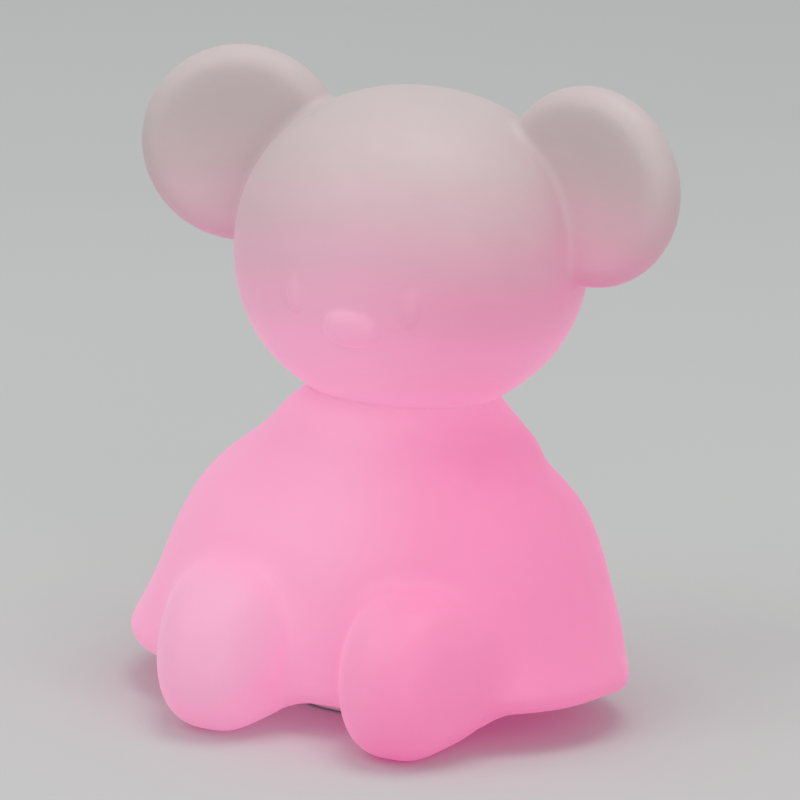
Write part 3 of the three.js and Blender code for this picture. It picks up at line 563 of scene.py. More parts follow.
# The glow's levels lean to one side, which keeps the -x side paler as painted light from the
# key, fall towards the flanks and drift a little
GLOW_LEAN_PAINTED_LIGHT = -0.06
GLOW_FLANK = 0.15
GLOW_CLOUD = 0.006
CLOUD_NOISE = (18, 1)
FIGURE_HEIGHT = 0.15
MOTTLE_TONES = (0.985, 1.01)
MOTTLE_NOISE = (160, 4, 0.6)
SKIN_ROUGHNESS = (0.44, 0.54)
SKIN_GLOSS_NOISE = (90, 3)
SKIN_GRAIN_NOISE = (1800, 3, 0.6)
SKIN_GRAIN_DEPTH = 0.00004


def grey_stops(stops):
    return [(place, (share, share, share)) for place, share in stops]


def silicone():
    g = Graph("silicone")
    x, y, z = g.axes()
    cloud = g.math("MULTIPLY_ADD", g.noise(*CLOUD_NOISE), GLOW_CLOUD, -GLOW_CLOUD / 2)
    # The lean keeps the -x side paler: painted light
    height = g.math("ADD", g.math("MULTIPLY_ADD", x, GLOW_LEAN_PAINTED_LIGHT, z), cloud)
    height = g.math("MULTIPLY_ADD", g.math("ABSOLUTE", x), GLOW_FLANK, height)
    share = g.ramp(g.range(height, 0, FIGURE_HEIGHT, 0, 1), grey_stops(GLOW_STOPS))
    # The -x side gets the paler painted light, the +x side the deeper painted shade
    side = g.range(x, *PAINTED_LIGHT_TO_SHADE_X, 0, 1, smooth=True)
    behind = g.range(y, *PAINTED_SHADE_BACK_Y, 0, 1, smooth=True)
    slow = g.range(x, *PAINTED_SHADE_BACK_X, 0, 1, smooth=True)
    side = g.math("MULTIPLY_ADD", behind, g.math("SUBTRACT", slow, side), side)
    full = g.mix(side, GLOW_WITH_PAINTED_LIGHT, GLOW_IN_PAINTED_SHADE)
    # Painted shade in the crease under the head
    full = g.mix(g.math("MULTIPLY", g.share("crease"), CREASE_PAINTED_SHADE), full, GLOW_IN_PAINTED_SHADE)
    # A painted highlight on the front of the -x foot
    pale = g.math("MULTIPLY", g.share("painted_toe_highlight"), g.math("SUBTRACT", 1, side))
    full = g.mix(g.math("MULTIPLY", pale, TOE_PAINTED_HIGHLIGHT_STRENGTH), full, TOE_PAINTED_HIGHLIGHT)
    # Painted light on the chin and neck
    chin = g.ramp(g.range(z, 0, FIGURE_HEIGHT, 0, 1), grey_stops(CHIN_STOPS))
    full = g.mix(g.math("MULTIPLY", chin, CHIN_PAINTED_LIGHT_SHARE), full, CHIN_PAINTED_LIGHT)
    mottle = g.uneven(*MOTTLE_TONES, *MOTTLE_NOISE)
    base = g.mix(1, g.mix(share, SKIN_WHITE, SKIN_LIT), mottle, "MULTIPLY")
    g.set(Base_Color=base, Roughness=g.uneven(*SKIN_ROUGHNESS, *SKIN_GLOSS_NOISE))
    g.set(Emission_Color=g.mix(share, BLACK, full), Emission_Strength=1.0, IOR=1.41)
    g.set(Subsurface_Weight=0.2, Subsurface_Radius=(1.0, 0.5, 0.6), Subsurface_Scale=0.003)
    g.set(Sheen_Weight=0.18, Sheen_Roughness=0.5)
    g.bump(g.noise(*SKIN_GRAIN_NOISE), SKIN_GRAIN_DEPTH, 0.5)
    return g.material


def crease_shade_share(points):
    """How deep in the crease under the head a point lies, from 0 to 1, which is the share of
    painted shade there.
    """
    x, y, z = points.T
    neck = np.maximum(head_distance(x, y, z), body_distance(x, y, z))
    return 1 - smooth_step(neck, 0, CREASE_SHADE_REACH)


def painted_toe_highlight_share(points):
    """How far within the round front of a foot a point lies, from 0 to 1, which is the share of
    the painted highlight there.
    """
    x, y, z = points.T
    reach = np.hypot(np.abs(x) - TOE_MIDDLE[0], z - TOE_MIDDLE[1])
    return (1 - smooth_step(reach, *TOE_RADIUS)) * (y < TOE_BACK_Y)


def build_skin():
    points, faces = surface_net(skin_distance, GRID_LOW, GRID_HIGH, VOXEL_MM)
    points, outwards = settle(skin_distance, points)
    # The crease share carries the painted shade in the neck's crease
    shares = {"crease": crease_shade_share(points), "painted_toe_highlight": painted_toe_highlight_share(points)}
    points = (points + np.array([0, FIGURE_SHIFT_Y_MM, 0])) * MM
    skin = add_object("skin", points, faces, silicone())
    skin.data.normals_split_custom_set_from_vertices([tuple(n) for n in outwards])
    for name, values in shares.items():
        skin.data.attributes.new(name, "FLOAT", "POINT").data.foreach_set("value", values)
    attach(skin, "body")
    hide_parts("silicone_skin")


def ring_places(radius, degrees):
    return [(radius * math.cos(a), radius * math.sin(a)) for a in np.radians(degrees)]


# The base's sizes, in millimetres on the base's own axis, as in the solids. Outlines are
# pairs of radius and height
BASE_ROW_Y_MM = FIGURE_SHIFT_Y_MM + BASE_Y
SCREW_PLACES = ring_places(18.6, (30, 150, 270))
PAD_PLACES = ring_places(17, (90, 210, 330))
SCREW_HOLE_RADIUS = 1.2
SEAT_GAP = 0.3
HOUSING_OUTLINE = (
    (0, 18.4), (20.9, 18.4), (20.9, 7.6), (24.4, 7.6), (24.4, 0.6), (26, 0.6), (26, 9.2),
    (22.5, 9.2), (22.5, 20), (0, 20),
)
# Each boss has a wide part and a narrower foot: radius and lower end
BOSSES = ((2.6, 7.7), (1.9, 2.9))
BOSS_TOP_Z = 19
NECK_HOLE_LEVELS = (13.5, 21)
PORT_CORNER = 1.6
PORT_SIDES_Y = (22, 28)
CABLE_SLOT_SIZE = (1.4, 5)
CABLE_SLOT_PLACE = (-9, -6)
CABLE_SLOT_LEVELS = (17, 21)
CABLE_SLOT_CORNER = 0.4
COVER_OUTLINE = (
    (0, 0.6), (22.2, 0.6), (22.3, 0.75), (22.5, 0.75), (22.6, 0.6), (24.1, 0.6), (24.1, 2.6),
    (0, 2.6),
)
COVER_CUT_LEVELS = (0, 3)
SLEEVE_OUTLINE = ((2.2, 2.2), (3.3, 2.2), (3.3, 5.9), (2.2, 5.9))
# Holes that open out below: radius, lower end, upper end, height of the mouth, and flare
BOSS_HOLE = (SCREW_HOLE_RADIUS, 2, 9.4, 2.9, 0.2)
COUNTERBORE = (2.1, 0, 1.8, 0.6, 0.15)
PAD_WELL = (4.3, 0, 1.2, 0.6, 0.15)
BUTTON_HOLE = (3.7, 0, 3, 0.6, 0.3)
PAD_OUTLINE = (
    (0, 0), (1.3, 0), (1.45, 0.2), (1.75, 0.2), (1.9, 0), (2.6, 0), (2.75, 0.2), (3.05, 0.2),
    (3.2, 0), (4, 0), (4, 0.9), (0, 0.9),
)
BUTTON_OUTLINE = (
    (0, 1.05), (1.2, 0.98), (2.1, 0.82), (2.7, 0.7), (3.4, 0.7), (3.4, 2.9), (4.6, 2.9),
    (4.6, 3.7), (1.4, 3.7), (1.4, 4), (0, 4),
)
SCREW_HEAD_OUTLINE = ((0, 0), (1.3, 0), (1.65, 0.1), (1.8, 0.32), (1.8, 0.9), (0.9, 0.9))
SCREW_LENGTH = 7.5
SCREW_TIP = (0.3, SCREW_LENGTH - 0.05)
SCREW_SLOT_SIZE = (5, 0.6)
SCREW_SLOT_CORNER = 0.05
SCREW_SLOT_LEVELS = (-1, 0.6)
THREAD_START_Z = 1.2
THREAD_END_GAP = 0.6
THREAD_PITCH = 0.6
THREAD_RADII = (0.9, 0.68)
# Heights within one turn: the end of the root, and the crest
THREAD_ROOT = 0.15
THREAD_CREST = 0.4
BUTTON_PLACE = (-7.5, 3)
KNOB_SLOT_PLACE = (7.5, 3)
KNOB_SLOT_SIZE = (7.0, 3.6)
KNOB_SLOT_CORNER = 0.5
KNOB_ENDS_X = (4.3, 8.3)
KNOB_LEVELS = (0.8, 3.6)
KNOB_SIDES_Y = (1.5, 4.5)
KNOB_RIM = 0.12
KNOB_GROOVES_X = (5.3, 6.3, 7.3)
KNOB_GROOVE_MOUTH = 0.25
KNOB_GROOVE_FLOOR = 0.15
KNOB_GROOVE_DEPTH = 0.3
SOCKET_SIZE = (8.9, 3.2)
SOCKET_CORNER = 1.3
SOCKET_RIM = 0.08
SOCKET_SIDES_Y = (18.4, 25.7)
SOCKET_MIDDLE_Z = 4.5
SOCKET_MOUTH_Y = 19.7
SOCKET_MOUTH_CORNER = 1.0
SHELL = 0.3
TONGUE_SIZE = (6.6, 0.7)
TONGUE_CORNER = 0.25
TONGUE_RIM = 0.2
TONGUE_SIDES_Y = (19.4, 24.1)
CONTACT_COUNT = 8
CONTACT_PITCH = 0.75
CONTACT_SIZE = (0.32, 0.08)
CONTACT_CORNER = 0.03
CONTACT_RIM = 0.02
CONTACT_SIDES_Y = (19.9, 23.6)
CLAMP_OUTLINE = ((22.8, 12.3), (25.4, 12.3), (25.4, 14.3), (22.8, 14.3))
DOME_RADIUS = 15.4
DOME_RISE = 14.6
DOME_WALL = 1.2
DOME_STEP_DEGREES = 6
DOME_FILLET = 0.5
# The fillet's middle point, as shares of its size outwards and upwards
DOME_FILLET_MIDDLE = (0.2, 0.3)
FLANGE_RADIUS = 21.6
FLANGE_LEVELS = (20.3, 21.7)
CUT_OVERRUN = 1

# How finely round forms are divided, how sharp a cutter's rims are, and the rounding of edges
AROUND = 96
FITTING_AROUND = 72
WELL_AROUND = 64
BOSS_AROUND = 48
SCREW_AROUND = 40
HOLE_AROUND = 32
CORNER_STEPS = 6
# A rounded corner takes at most this share of a side
LONGEST_CORNER = 0.45
CUTTER_RIM = 0.01
ALONG_Y = (0, 2, 1)
# Folds sharper than this stay edges
SHARP_DEGREES = 32
SCREW_SHARP_DEGREES = 25
KNOB_SHARP_DEGREES = 50
PAD_SHARP_DEGREES = 60
WIDE_EDGE = 0.35
EDGE = 0.3
BUTTON_EDGE = 0.16
COVER_EDGE = 0.15
PAD_EDGE = 0.12


def row(points):
    """Millimetres on the base's axis to metres in the row frame."""
    return (np.array(points, float) + np.array([0, BASE_ROW_Y_MM, 0])) * MM


def soften(outline, size, closed=True):
    """The outline with its corners rounded, each by three short steps."""
    count = len(outline)
    made = []
    for i, p in enumerate(outline):
        if not closed and i in (0, count - 1):
            made.append(tuple(p))
            continue
        p = np.array(p, float)
        ends = []
        for q in (outline[i - 1], outline[(i + 1) % count]):
            way = np.array(q, float) - p
            far = np.linalg.norm(way)
            ends.append(p + way * min(size / far, LONGEST_CORNER))
        for t in (0, 1 / 3, 2 / 3, 1):
            made.append(tuple((1 - t) ** 2 * ends[0] + 2 * t * (1 - t) * p + t * t * ends[1]))
    return made


def lathe(outline, place=(0, 0), around=AROUND):
    """Points and faces of the outline (radius, height) turned about an upright axis."""
    points = []
    rings = []
    for radius, z in outline:
        count = 1 if radius < TINY else around
        rings.append(range(len(points), len(points) + count))
        for j in range(count):
            a = 2 * math.pi * j / around
            points.append((place[0] + radius * math.cos(a), place[1] + radius * math.sin(a), z))
    faces = []
    pairs = list(zip(rings, rings[1:]))
    if len(rings[0]) > 1:
        pairs.append((rings[-1], rings[0]))
    for low, high in pairs:
        for j in range(around):
            k = (j + 1) % around
            corners = (low[j % len(low)], low[k % len(low)], high[k % len(high)],
                       high[j % len(high)])
            corners = list(dict.fromkeys(corners))
            if len(corners) > 2:
                faces.append(corners)
    return points, faces


def rod(radius, low, high, place, around=HOLE_AROUND):
    return lathe(((0, low), (radius, low), (radius, high), (0, high)), place, around)


def prism(outline, low, high, rim=CUTTER_RIM, order=(0, 1, 2)):
    """Points and faces of an outline drawn out from low to high, with rounded rims.

    order says which axes the outline's two directions and the way it is drawn take."""
    flat = np.array(outline, float)
    ahead = np.roll(flat, -1, axis=0) - flat
    ahead /= np.linalg.norm(ahead, axis=1)[:, None]
    behind = np.roll(ahead, 1, axis=0)
    normal = np.stack([(ahead + behind)[:, 1], -(ahead + behind)[:, 0]], axis=1)
    normal /= np.maximum(np.linalg.norm(normal, axis=1), TINY)[:, None]
    turns = [math.radians(a) for a in (0, 30, 60, 90)]
    steps = [(low + rim * (1 - math.sin(a)), rim * (1 - math.cos(a))) for a in reversed(turns)]
    steps += [(high - rim * (1 - math.sin(a)), rim * (1 - math.cos(a))) for a in turns]
    rings = []
    for level, inset in steps:
        ring = np.zeros((len(flat), 3))
        ring[:, order[0]], ring[:, order[1]] = (flat - normal * inset).T
        ring[:, order[2]] = level
        rings.append(ring)
    count = len(flat)
    last = (len(rings) - 1) * count
    faces = [
        (i + j, i + (j + 1) % count, i + count + (j + 1) % count, i + count + j)
        for i in range(0, last, count) for j in range(count)
    ]
    faces += [list(range(count))[::-1], [last + j for j in range(count)]]
    return [tuple(p) for ring in rings for p in ring], faces


def oblong(width, height, corner, middle=(0, 0)):
    """A rectangle with rounded corners, as an outline that runs anticlockwise."""
    made = []
    for k, (sx, sy) in enumerate(((1, -1), (1, 1), (-1, 1), (-1, -1))):
        for t in range(CORNER_STEPS + 1):
            a = math.radians(90 * (k - 1 + t / CORNER_STEPS))
            made.append((middle[0] + sx * (width / 2 - corner) + corner * math.cos(a),
                         middle[1] + sy * (height / 2 - corner) + corner * math.sin(a)))
    return made


def add_fine(name, shape, material=None):
    """An object from points in millimetres, with every face turned outwards."""
    points, faces = shape
    piece = add_object(name, row(points), faces, material)
    mesh = bmesh.new()
    mesh.from_mesh(piece.data)
    bmesh.ops.recalc_face_normals(mesh, faces=mesh.faces)
    mesh.to_mesh(piece.data)
    mesh.free()
    return piece


def combine(piece, shapes, operation):
    """Joins the shapes to the piece or cuts them out of it."""
    for shape in shapes:
        tool = add_fine(f"{piece.name}_tool", shape)
        change = piece.modifiers.new("combine", "BOOLEAN")
        change.operation = operation
        change.solver = "EXACT"
        change.object = tool
        seen = piece.evaluated_get(bpy.context.evaluated_depsgraph_get())
        mesh = bpy.data.meshes.new_from_object(seen)
        piece.modifiers.clear()
        old = piece.data
        piece.data = mesh
        bpy.data.meshes.remove(old)
        bpy.data.objects.remove(tool)


def keep(piece, body, node, slot, sharp_degrees=SHARP_DEGREES):
    """Finishes a piece: smooth but for its edges, riding on its body in its node's place."""
    mesh = piece.data
    mesh.polygons.foreach_set("use_smooth", [True] * len(mesh.polygons))
    mesh.set_sharp_from_angle(angle=math.radians(sharp_degrees))
    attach(piece, body)
    if node:
        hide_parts(node)


def flared(size, place, around=WELL_AROUND):
    """A round cutter that opens out towards its mouth below."""
    radius, low, high, mouth_z, flare = size
    outline = ((0, low), (radius + flare + mouth_z - low, low), (radius + flare, mouth_z),
               (radius, mouth_z + flare), (radius, high), (0, high))
    return lathe(outline, place, around)


def build_housing(material):
    piece = add_fine("housing", lathe(soften(HOUSING_OUTLINE, EDGE, False)), material)
    bosses = [rod(radius, low, BOSS_TOP_Z, p, BOSS_AROUND)
              for p in SCREW_PLACES for radius, low in BOSSES]
    combine(piece, bosses, "UNION")
    holes = [flared(BOSS_HOLE, p, HOLE_AROUND) for p in SCREW_PLACES]
    holes += [rod(SCREW_HOLE_RADIUS, *NECK_HOLE_LEVELS, p) for p in SCREW_PLACES]
    width, height = (size + 2 * SEAT_GAP for size in SOCKET_SIZE)
    port = oblong(width, height, PORT_CORNER, (0, SOCKET_MIDDLE_Z))
    holes.append(prism(port, *PORT_SIDES_Y, order=ALONG_Y))
    slot = oblong(*CABLE_SLOT_SIZE, CABLE_SLOT_CORNER, CABLE_SLOT_PLACE)
    holes.append(prism(slot, *CABLE_SLOT_LEVELS))
    combine(piece, holes, "DIFFERENCE")
    keep(piece, "body", "base_housing", "white_plastic")


def build_cover(material):
    piece = add_fine("cover", lathe(soften(COVER_OUTLINE, COVER_EDGE, False)), material)
    cuts = []
    for p in SCREW_PLACES:
        cuts.append(rod(SCREW_HOLE_RADIUS, *COVER_CUT_LEVELS, p))
        cuts.append(flared(COUNTERBORE, p, BOSS_AROUND))
    cuts += [flared(PAD_WELL, p) for p in PAD_PLACES]
    cuts.append(flared(BUTTON_HOLE, BUTTON_PLACE))
    slot = oblong(*KNOB_SLOT_SIZE, KNOB_SLOT_CORNER, KNOB_SLOT_PLACE)
    cuts.append(prism(slot, *COVER_CUT_LEVELS))
    combine(piece, cuts, "DIFFERENCE")
    combine(piece, [lathe(SLEEVE_OUTLINE, p, BOSS_AROUND) for p in SCREW_PLACES], "UNION")
    keep(piece, "body", "bottom_cover", "white_plastic")


def build_diffuser(material):
    """A thin dome, open below, on a flange with three screw holes."""
    low, high = FLANGE_LEVELS
    turns = np.radians(np.arange(0, 90 + DOME_STEP_DEGREES, DOME_STEP_DEGREES))

    def dome(inset):
        return [((DOME_RADIUS - inset) * math.cos(a), high + (DOME_RISE - inset) * math.sin(a))
                for a in turns]

    edge = ((DOME_RADIUS - DOME_WALL, low), (FLANGE_RADIUS, low), (FLANGE_RADIUS, high),
            (DOME_RADIUS + DOME_FILLET, high))
    out, up = (DOME_FILLET * share for share in DOME_FILLET_MIDDLE)
    foot = (DOME_RADIUS + out, high + up)
    outline = dome(DOME_WALL)[::-1] + soften(edge, EDGE, False) + [foot] + dome(0)[1:]
    piece = add_fine("diffuser", lathe(outline), material)
    holes = [rod(SCREW_HOLE_RADIUS, low - CUT_OVERRUN, high + CUT_OVERRUN, p)
             for p in SCREW_PLACES]
    combine(piece, holes, "DIFFERENCE")
    keep(piece, "body", "light_diffuser", "diffuser_plastic")


def build_screw(kind, number, turned, material):
    """A slotted screw with a turned thread; turned over, it hangs from its head."""
    outline = list(SCREW_HEAD_OUTLINE)
    outer, core = THREAD_RADII
    z = THREAD_START_Z
    while z < SCREW_LENGTH - THREAD_END_GAP:
        outline += [(core, z), (core, z + THREAD_ROOT), (outer, z + THREAD_CREST)]
        z += THREAD_PITCH
    outline += [(core, z), SCREW_TIP, (0, SCREW_LENGTH)]
    piece = add_fine(f"{kind}_fine_{number}", lathe(outline, around=SCREW_AROUND), material)
    slot = prism(oblong(*SCREW_SLOT_SIZE, SCREW_SLOT_CORNER), *SCREW_SLOT_LEVELS)
    combine(piece, [slot], "DIFFERENCE")
    node = f"{kind}_{number}"
    low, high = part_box(node)
    middle = (low + high) / 2
    start = Vector((0, BASE_ROW_Y_MM * MM, 0))
    spin = Matrix.Rotation(math.pi if turned else 0, 4, "X")
    head = Vector((middle.x, middle.y, high.z if turned else low.z))
    piece.data.transform(Matrix.Translation(head) @ spin @ Matrix.Translation(-start))
    keep(piece, "body", node, "steel", SCREW_SHARP_DEGREES)


def build_knob(material):
    """The slide switch's knob, with finger grooves across its underside."""
    start, end = KNOB_ENDS_X
    low, high = KNOB_LEVELS
    deep = low + KNOB_GROOVE_DEPTH
    outline = [(start, low)]
    for x in KNOB_GROOVES_X:
        outline += [(x - KNOB_GROOVE_MOUTH, low), (x - KNOB_GROOVE_FLOOR, deep),
                    (x + KNOB_GROOVE_FLOOR, deep), (x + KNOB_GROOVE_MOUTH, low)]
    outline += [(end, low), (end, high), (start, high)]
    shape = prism(soften(outline, KNOB_RIM), *KNOB_SIDES_Y, KNOB_RIM, ALONG_Y)
    piece = add_fine("knob", shape, material)
    keep(piece, "power_knob", "power_knob", "black_plastic", KNOB_SHARP_DEGREES)


def build_socket(material, contact_material):
    """A rounded metal shell with a tongue in its mouth, and contacts on the tongue."""
    middle = (0, SOCKET_MIDDLE_Z)
    width, height = SOCKET_SIZE
    outside = oblong(width, height, SOCKET_CORNER, middle)
    shell = prism(outside, *SOCKET_SIDES_Y, SOCKET_RIM, ALONG_Y)
    piece = add_fine("charging_socket", shell, material)
    inside = oblong(width - 2 * SHELL, height - 2 * SHELL, SOCKET_MOUTH_CORNER, middle)
    mouth = prism(inside, SOCKET_MOUTH_Y, SOCKET_SIDES_Y[1] + CUT_OVERRUN, order=ALONG_Y)
    combine(piece, [mouth], "DIFFERENCE")
    tongue = oblong(*TONGUE_SIZE, TONGUE_CORNER, middle)
    combine(piece, [prism(tongue, *TONGUE_SIDES_Y, TONGUE_RIM, ALONG_Y)], "UNION")
    keep(piece, "body", "usb_socket", "steel")
    points, faces = [], []
    for i in range(CONTACT_COUNT):
        x = (i - (CONTACT_COUNT - 1) / 2) * CONTACT_PITCH
        for side in (-1, 1):
            level = SOCKET_MIDDLE_Z + side * TONGUE_SIZE[1] / 2
            outline = oblong(*CONTACT_SIZE, CONTACT_CORNER, (x, level))
            strip = prism(outline, *CONTACT_SIDES_Y, CONTACT_RIM, ALONG_Y)
            faces += [[v + len(points) for v in face] for face in strip[1]]
            points += strip[0]
    keep(add_fine("socket_contacts", (points, faces), contact_material), "body", None, "steel")


# Finishes of the base's pieces: noises by scale, detail and roughness, lengths in metres
WHITE_PLASTIC = (0.85, 0.84, 0.82)
BLACK_PLASTIC = (0.03, 0.03, 0.035)
RUBBER = (0.27, 0.27, 0.29)
STEEL = (0.6, 0.61, 0.63)
GOLD = (0.83, 0.6, 0.24)
NYLON = (0.78, 0.76, 0.7)
SENSOR_CAN = (0.66, 0.62, 0.55)
RED_WIRE = (0.5, 0.02, 0.02)
BLACK_WIRE = (0.02, 0.02, 0.022)

PLATED_TONE = 0.04
MARKS_NOISE = (1, 4, 0.65)
MARKS_SPREAD = (-0.08, 0.1)
MARKS_DEPTH = 0.000015
# How closely the marks follow each other along the axes
MARKS_ALONG_Y = (3000, 60, 60)
MARKS_LEVEL = (60, 60, 3000)

GREEN_MASK = (0.012, 0.13, 0.05)
GREEN_TRACKS = (0.03, 0.25, 0.1)
WHITE_MASK = (0.8, 0.8, 0.78)
WHITE_TRACKS = (0.7, 0.71, 0.7)
TRACK_LAYOUT = {"offset": 0.35, "squash": 0.6, "squash_frequency": 3}
TRACK_WIDTH = 0.035
TRACK_SOFTNESS = 0.2
TRACK_PATCH_NOISE = (150, 2)
TRACK_PATCH_SPAN = (0.46, 0.5)
TRACK_HEIGHT = 0.00003
MASK_TONES = (0.95, 1.04)
MASK_NOISE = (90, 3)
MASK_ROUGHNESS = (0.28, 0.4)
MASK_GLOSS_NOISE = (400, 3)

FOAM = (0.06, 0.06, 0.065)
PORE_PAINTED_SHADE = 0.35
PORE_SCALE = 1600
PORE_RIM = 0.3
PORE_DEPTH = 0.0003

CABLE_CREST_HIGHLIGHT = (0.05, 0.05, 0.055)
CABLE_PITCH = 0.0011
CABLE_RIDGE_SPAN = (0.6, 1)
CABLE_RIDGE_HEIGHT = 0.0001

LAMP_PACKAGE = (0.86, 0.82, 0.66)
LAMP_POCKET = (0.85, 0.6, 0.12)
LAMP_POCKET_RADII = (0.0017, 0.0019)
WHITE_LIGHT = (1, 0.9, 0.7)
PINK_LIGHT = (1, 0.12, 0.45)

FROSTED_WHITE = (0.82, 0.8, 0.8)
FROSTED_LIGHT = (1.0, 0.16, 0.5)
# The frosted dome's glow at the levels of its foot and its top
FROSTED_LEVELS = (0.0216, 0.0363)
FROSTED_GLOW = (0.9, 0.35)

FOIL = (0.62, 0.64, 0.67)
FOIL_METALLIC = 0.85
FOIL_CREASES = (260, 5, 0.65)
FOIL_CREASE_DEPTH = 0.0002
TAPE = (0.7, 0.42, 0.03)
# Where the tape begins and is full, measured from the end of the cell with the leads
TAPE_EDGE = (0.0042, 0.004)

PACKAGE = (0.02, 0.02, 0.023)
PIN_MARK = (0.06, 0.06, 0.062)
PIN_MARK_INSET = 0.0009
PIN_MARK_RADII = (0.00033, 0.0004)
PIN_MARK_DEPTH = 0.00005


def moulded(name, colour, roughness, tone=0.03, grain=GRAIN_SCALE, depth=GRAIN_DEPTH,
            metallic=0.0):
    """A moulded or plated finish: slightly uneven in tone and gloss, with a fine grain."""
    g = Graph(name)
    g.set(Base_Color=g.toned(colour, tone), Roughness=g.worn(roughness), Metallic=metallic)
    g.grain(grain, depth)
    return g.material


def plated(name, colour, roughness, run):
    """Plated sheet metal with fine marks drawn out along one way."""
    g = Graph(name)
    marks = g.noise(*MARKS_NOISE, g.stretch(run))
    gloss = g.range(marks, *NOISE_SPAN, *(roughness + more for more in MARKS_SPREAD))
    g.set(Base_Color=g.toned(colour, PLATED_TONE), Roughness=gloss, Metallic=1.0)
    g.bump(marks, MARKS_DEPTH, 0.5)
    return g.material


def circuit(name, mask, copper, scale):
    """Solder mask over copper tracks that show as slightly raised, lighter lines."""
    g = Graph(name)
    lines = g.add("ShaderNodeTexBrick", **TRACK_LAYOUT)
    g.feed(lines, Vector=g.object, Scale=scale, Mortar_Size=TRACK_WIDTH,
           Mortar_Smooth=TRACK_SOFTNESS)
    patches = g.range(g.noise(*TRACK_PATCH_NOISE), *TRACK_PATCH_SPAN, 0, 1)
    tracks = g.math("MULTIPLY", lines.outputs["Fac"], patches)
    shade = g.uneven(*MASK_TONES, *MASK_NOISE)
    g.set(Base_Color=g.mix(1, g.mix(tracks, mask, copper), shade, "MULTIPLY"))
    g.set(Roughness=g.uneven(*MASK_ROUGHNESS, *MASK_GLOSS_NOISE))
    g.bump(tracks, TRACK_HEIGHT, 0.7)
    return g.material


def open_foam(name):
    g = Graph(name)
    cells = g.add("ShaderNodeTexVoronoi", feature="DISTANCE_TO_EDGE")
    g.feed(cells, Vector=g.object, Scale=PORE_SCALE)
    pores = g.range(cells.outputs["Distance"], 0, PORE_RIM, 1, 0)
    # The pores are painted darker: painted shade in their hollows
    dark = [PORE_PAINTED_SHADE * share for share in FOAM]
    g.set(Base_Color=g.mix(pores, dark, FOAM), Roughness=0.95)
    g.bump(pores, PORE_DEPTH, 0.8)
    return g.material


def ribbon(name):
    """Flat cable: dark insulation with its wires showing as ridges side by side."""
    g = Graph(name)
    wave = g.math("COSINE", g.math("MULTIPLY", g.axes()[1], 2 * math.pi / CABLE_PITCH))
    ridges = g.range(wave, *CABLE_RIDGE_SPAN, 0, 1)
    # The crests of the ridges are painted a little lighter: a painted highlight
    g.set(Base_Color=g.mix(ridges, BLACK_WIRE, CABLE_CREST_HIGHLIGHT), Roughness=g.worn(0.4))
    g.bump(wave, CABLE_RIDGE_HEIGHT, 0.8)
    return g.material


def lamp(name, light, strength):
    """A lamp in a pale package, glowing from the round pocket on its top."""
    g = Graph(name)
    low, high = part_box(name)
    place = ((low.x + high.x) / 2, (low.y + high.y) / 2, high.z)
    pocket = g.spot(place, *LAMP_POCKET_RADII)
    g.set(Base_Color=g.mix(pocket, LAMP_PACKAGE, LAMP_POCKET), Roughness=g.worn(0.35))
    g.set(Emission_Color=g.mix(pocket, BLACK, light), Emission_Strength=strength)
    g.grain()
    return g.material


def frosted(name):
    """The diffuser's milky plastic, brightest over the lamps."""
    g = Graph(name)
    g.set(Base_Color=g.toned(FROSTED_WHITE, 0.02), Roughness=g.worn(0.3))
    glow = g.range(g.axes()[2], *FROSTED_LEVELS, *FROSTED_GLOW)
    g.set(Emission_Color=g.mix(glow, BLACK, FROSTED_LIGHT), Emission_Strength=0.4)
    g.set(Subsurface_Weight=0.3, Subsurface_Radius=(1, 1, 1), Subsurface_Scale=0.001)
    g.grain()
    return g.material


def wrapped_cell(name):
    """Creased foil with a band of yellow tape over the cell's terminals."""
    g = Graph(name)
    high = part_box("battery_cell")[1]
    edge = [high.y - inset for inset in TAPE_EDGE]
    tape = g.range(g.axes()[1], *edge, 0, 1)
    g.set(Base_Color=g.mix(tape, FOIL, TAPE), Roughness=g.worn(0.36))
    g.set(Metallic=g.math("SUBTRACT", FOIL_METALLIC, g.math("MULTIPLY", tape, FOIL_METALLIC)))
    g.bump(g.noise(*FOIL_CREASES), FOIL_CREASE_DEPTH, 0.5)
    return g.material


def chip(name, node):
    """A black moulded package with a round pin mark near one corner."""
    g = Graph(name)
    low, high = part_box(node)
    place = (low.x + PIN_MARK_INSET, high.y - PIN_MARK_INSET, high.z)
    mark = g.spot(place, *PIN_MARK_RADII)
    g.set(Base_Color=g.mix(mark, PACKAGE, PIN_MARK), Roughness=g.worn(0.42))
    g.bump(g.math("SUBTRACT", 1, mark), PIN_MARK_DEPTH, 0.8)
    return g.material


def dress_nodes(white, black, steel):
    """Gives the nodes that keep their solids' shape their looks."""
    looks = {
        "battery_strap": white,
        "battery_plug": moulded("nylon", NYLON, 0.42),
        "tact_switch": black,
        "slide_switch_body": steel,
        "tap_sensor": plated("spring_can", SENSOR_CAN, 0.3, MARKS_LEVEL),
        "control_board": circuit("green_board", GREEN_MASK, GREEN_TRACKS, 420),
        "light_board": circuit("white_board", WHITE_MASK, WHITE_TRACKS, 300),
        "driver_chip": chip("chip_package", "driver_chip"),
        "battery_cell": wrapped_cell("cell_wrap"),
        "battery_foam": open_foam("foam"),
        "battery_lead_red": moulded("red_wire", RED_WIRE, 0.38),
        "battery_lead_black": moulded("black_wire", BLACK_WIRE, 0.38),
        "light_cable": ribbon("flat_cable"),
        "white_lamp": lamp("white_lamp", WHITE_LIGHT, 0.3),
    }
    for i in range(1, 6):
        looks[f"colour_lamp_{i}"] = lamp(f"colour_lamp_{i}", PINK_LIGHT, 2.0)
    for name, material in looks.items():
        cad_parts[name].material_slots[0].material = material


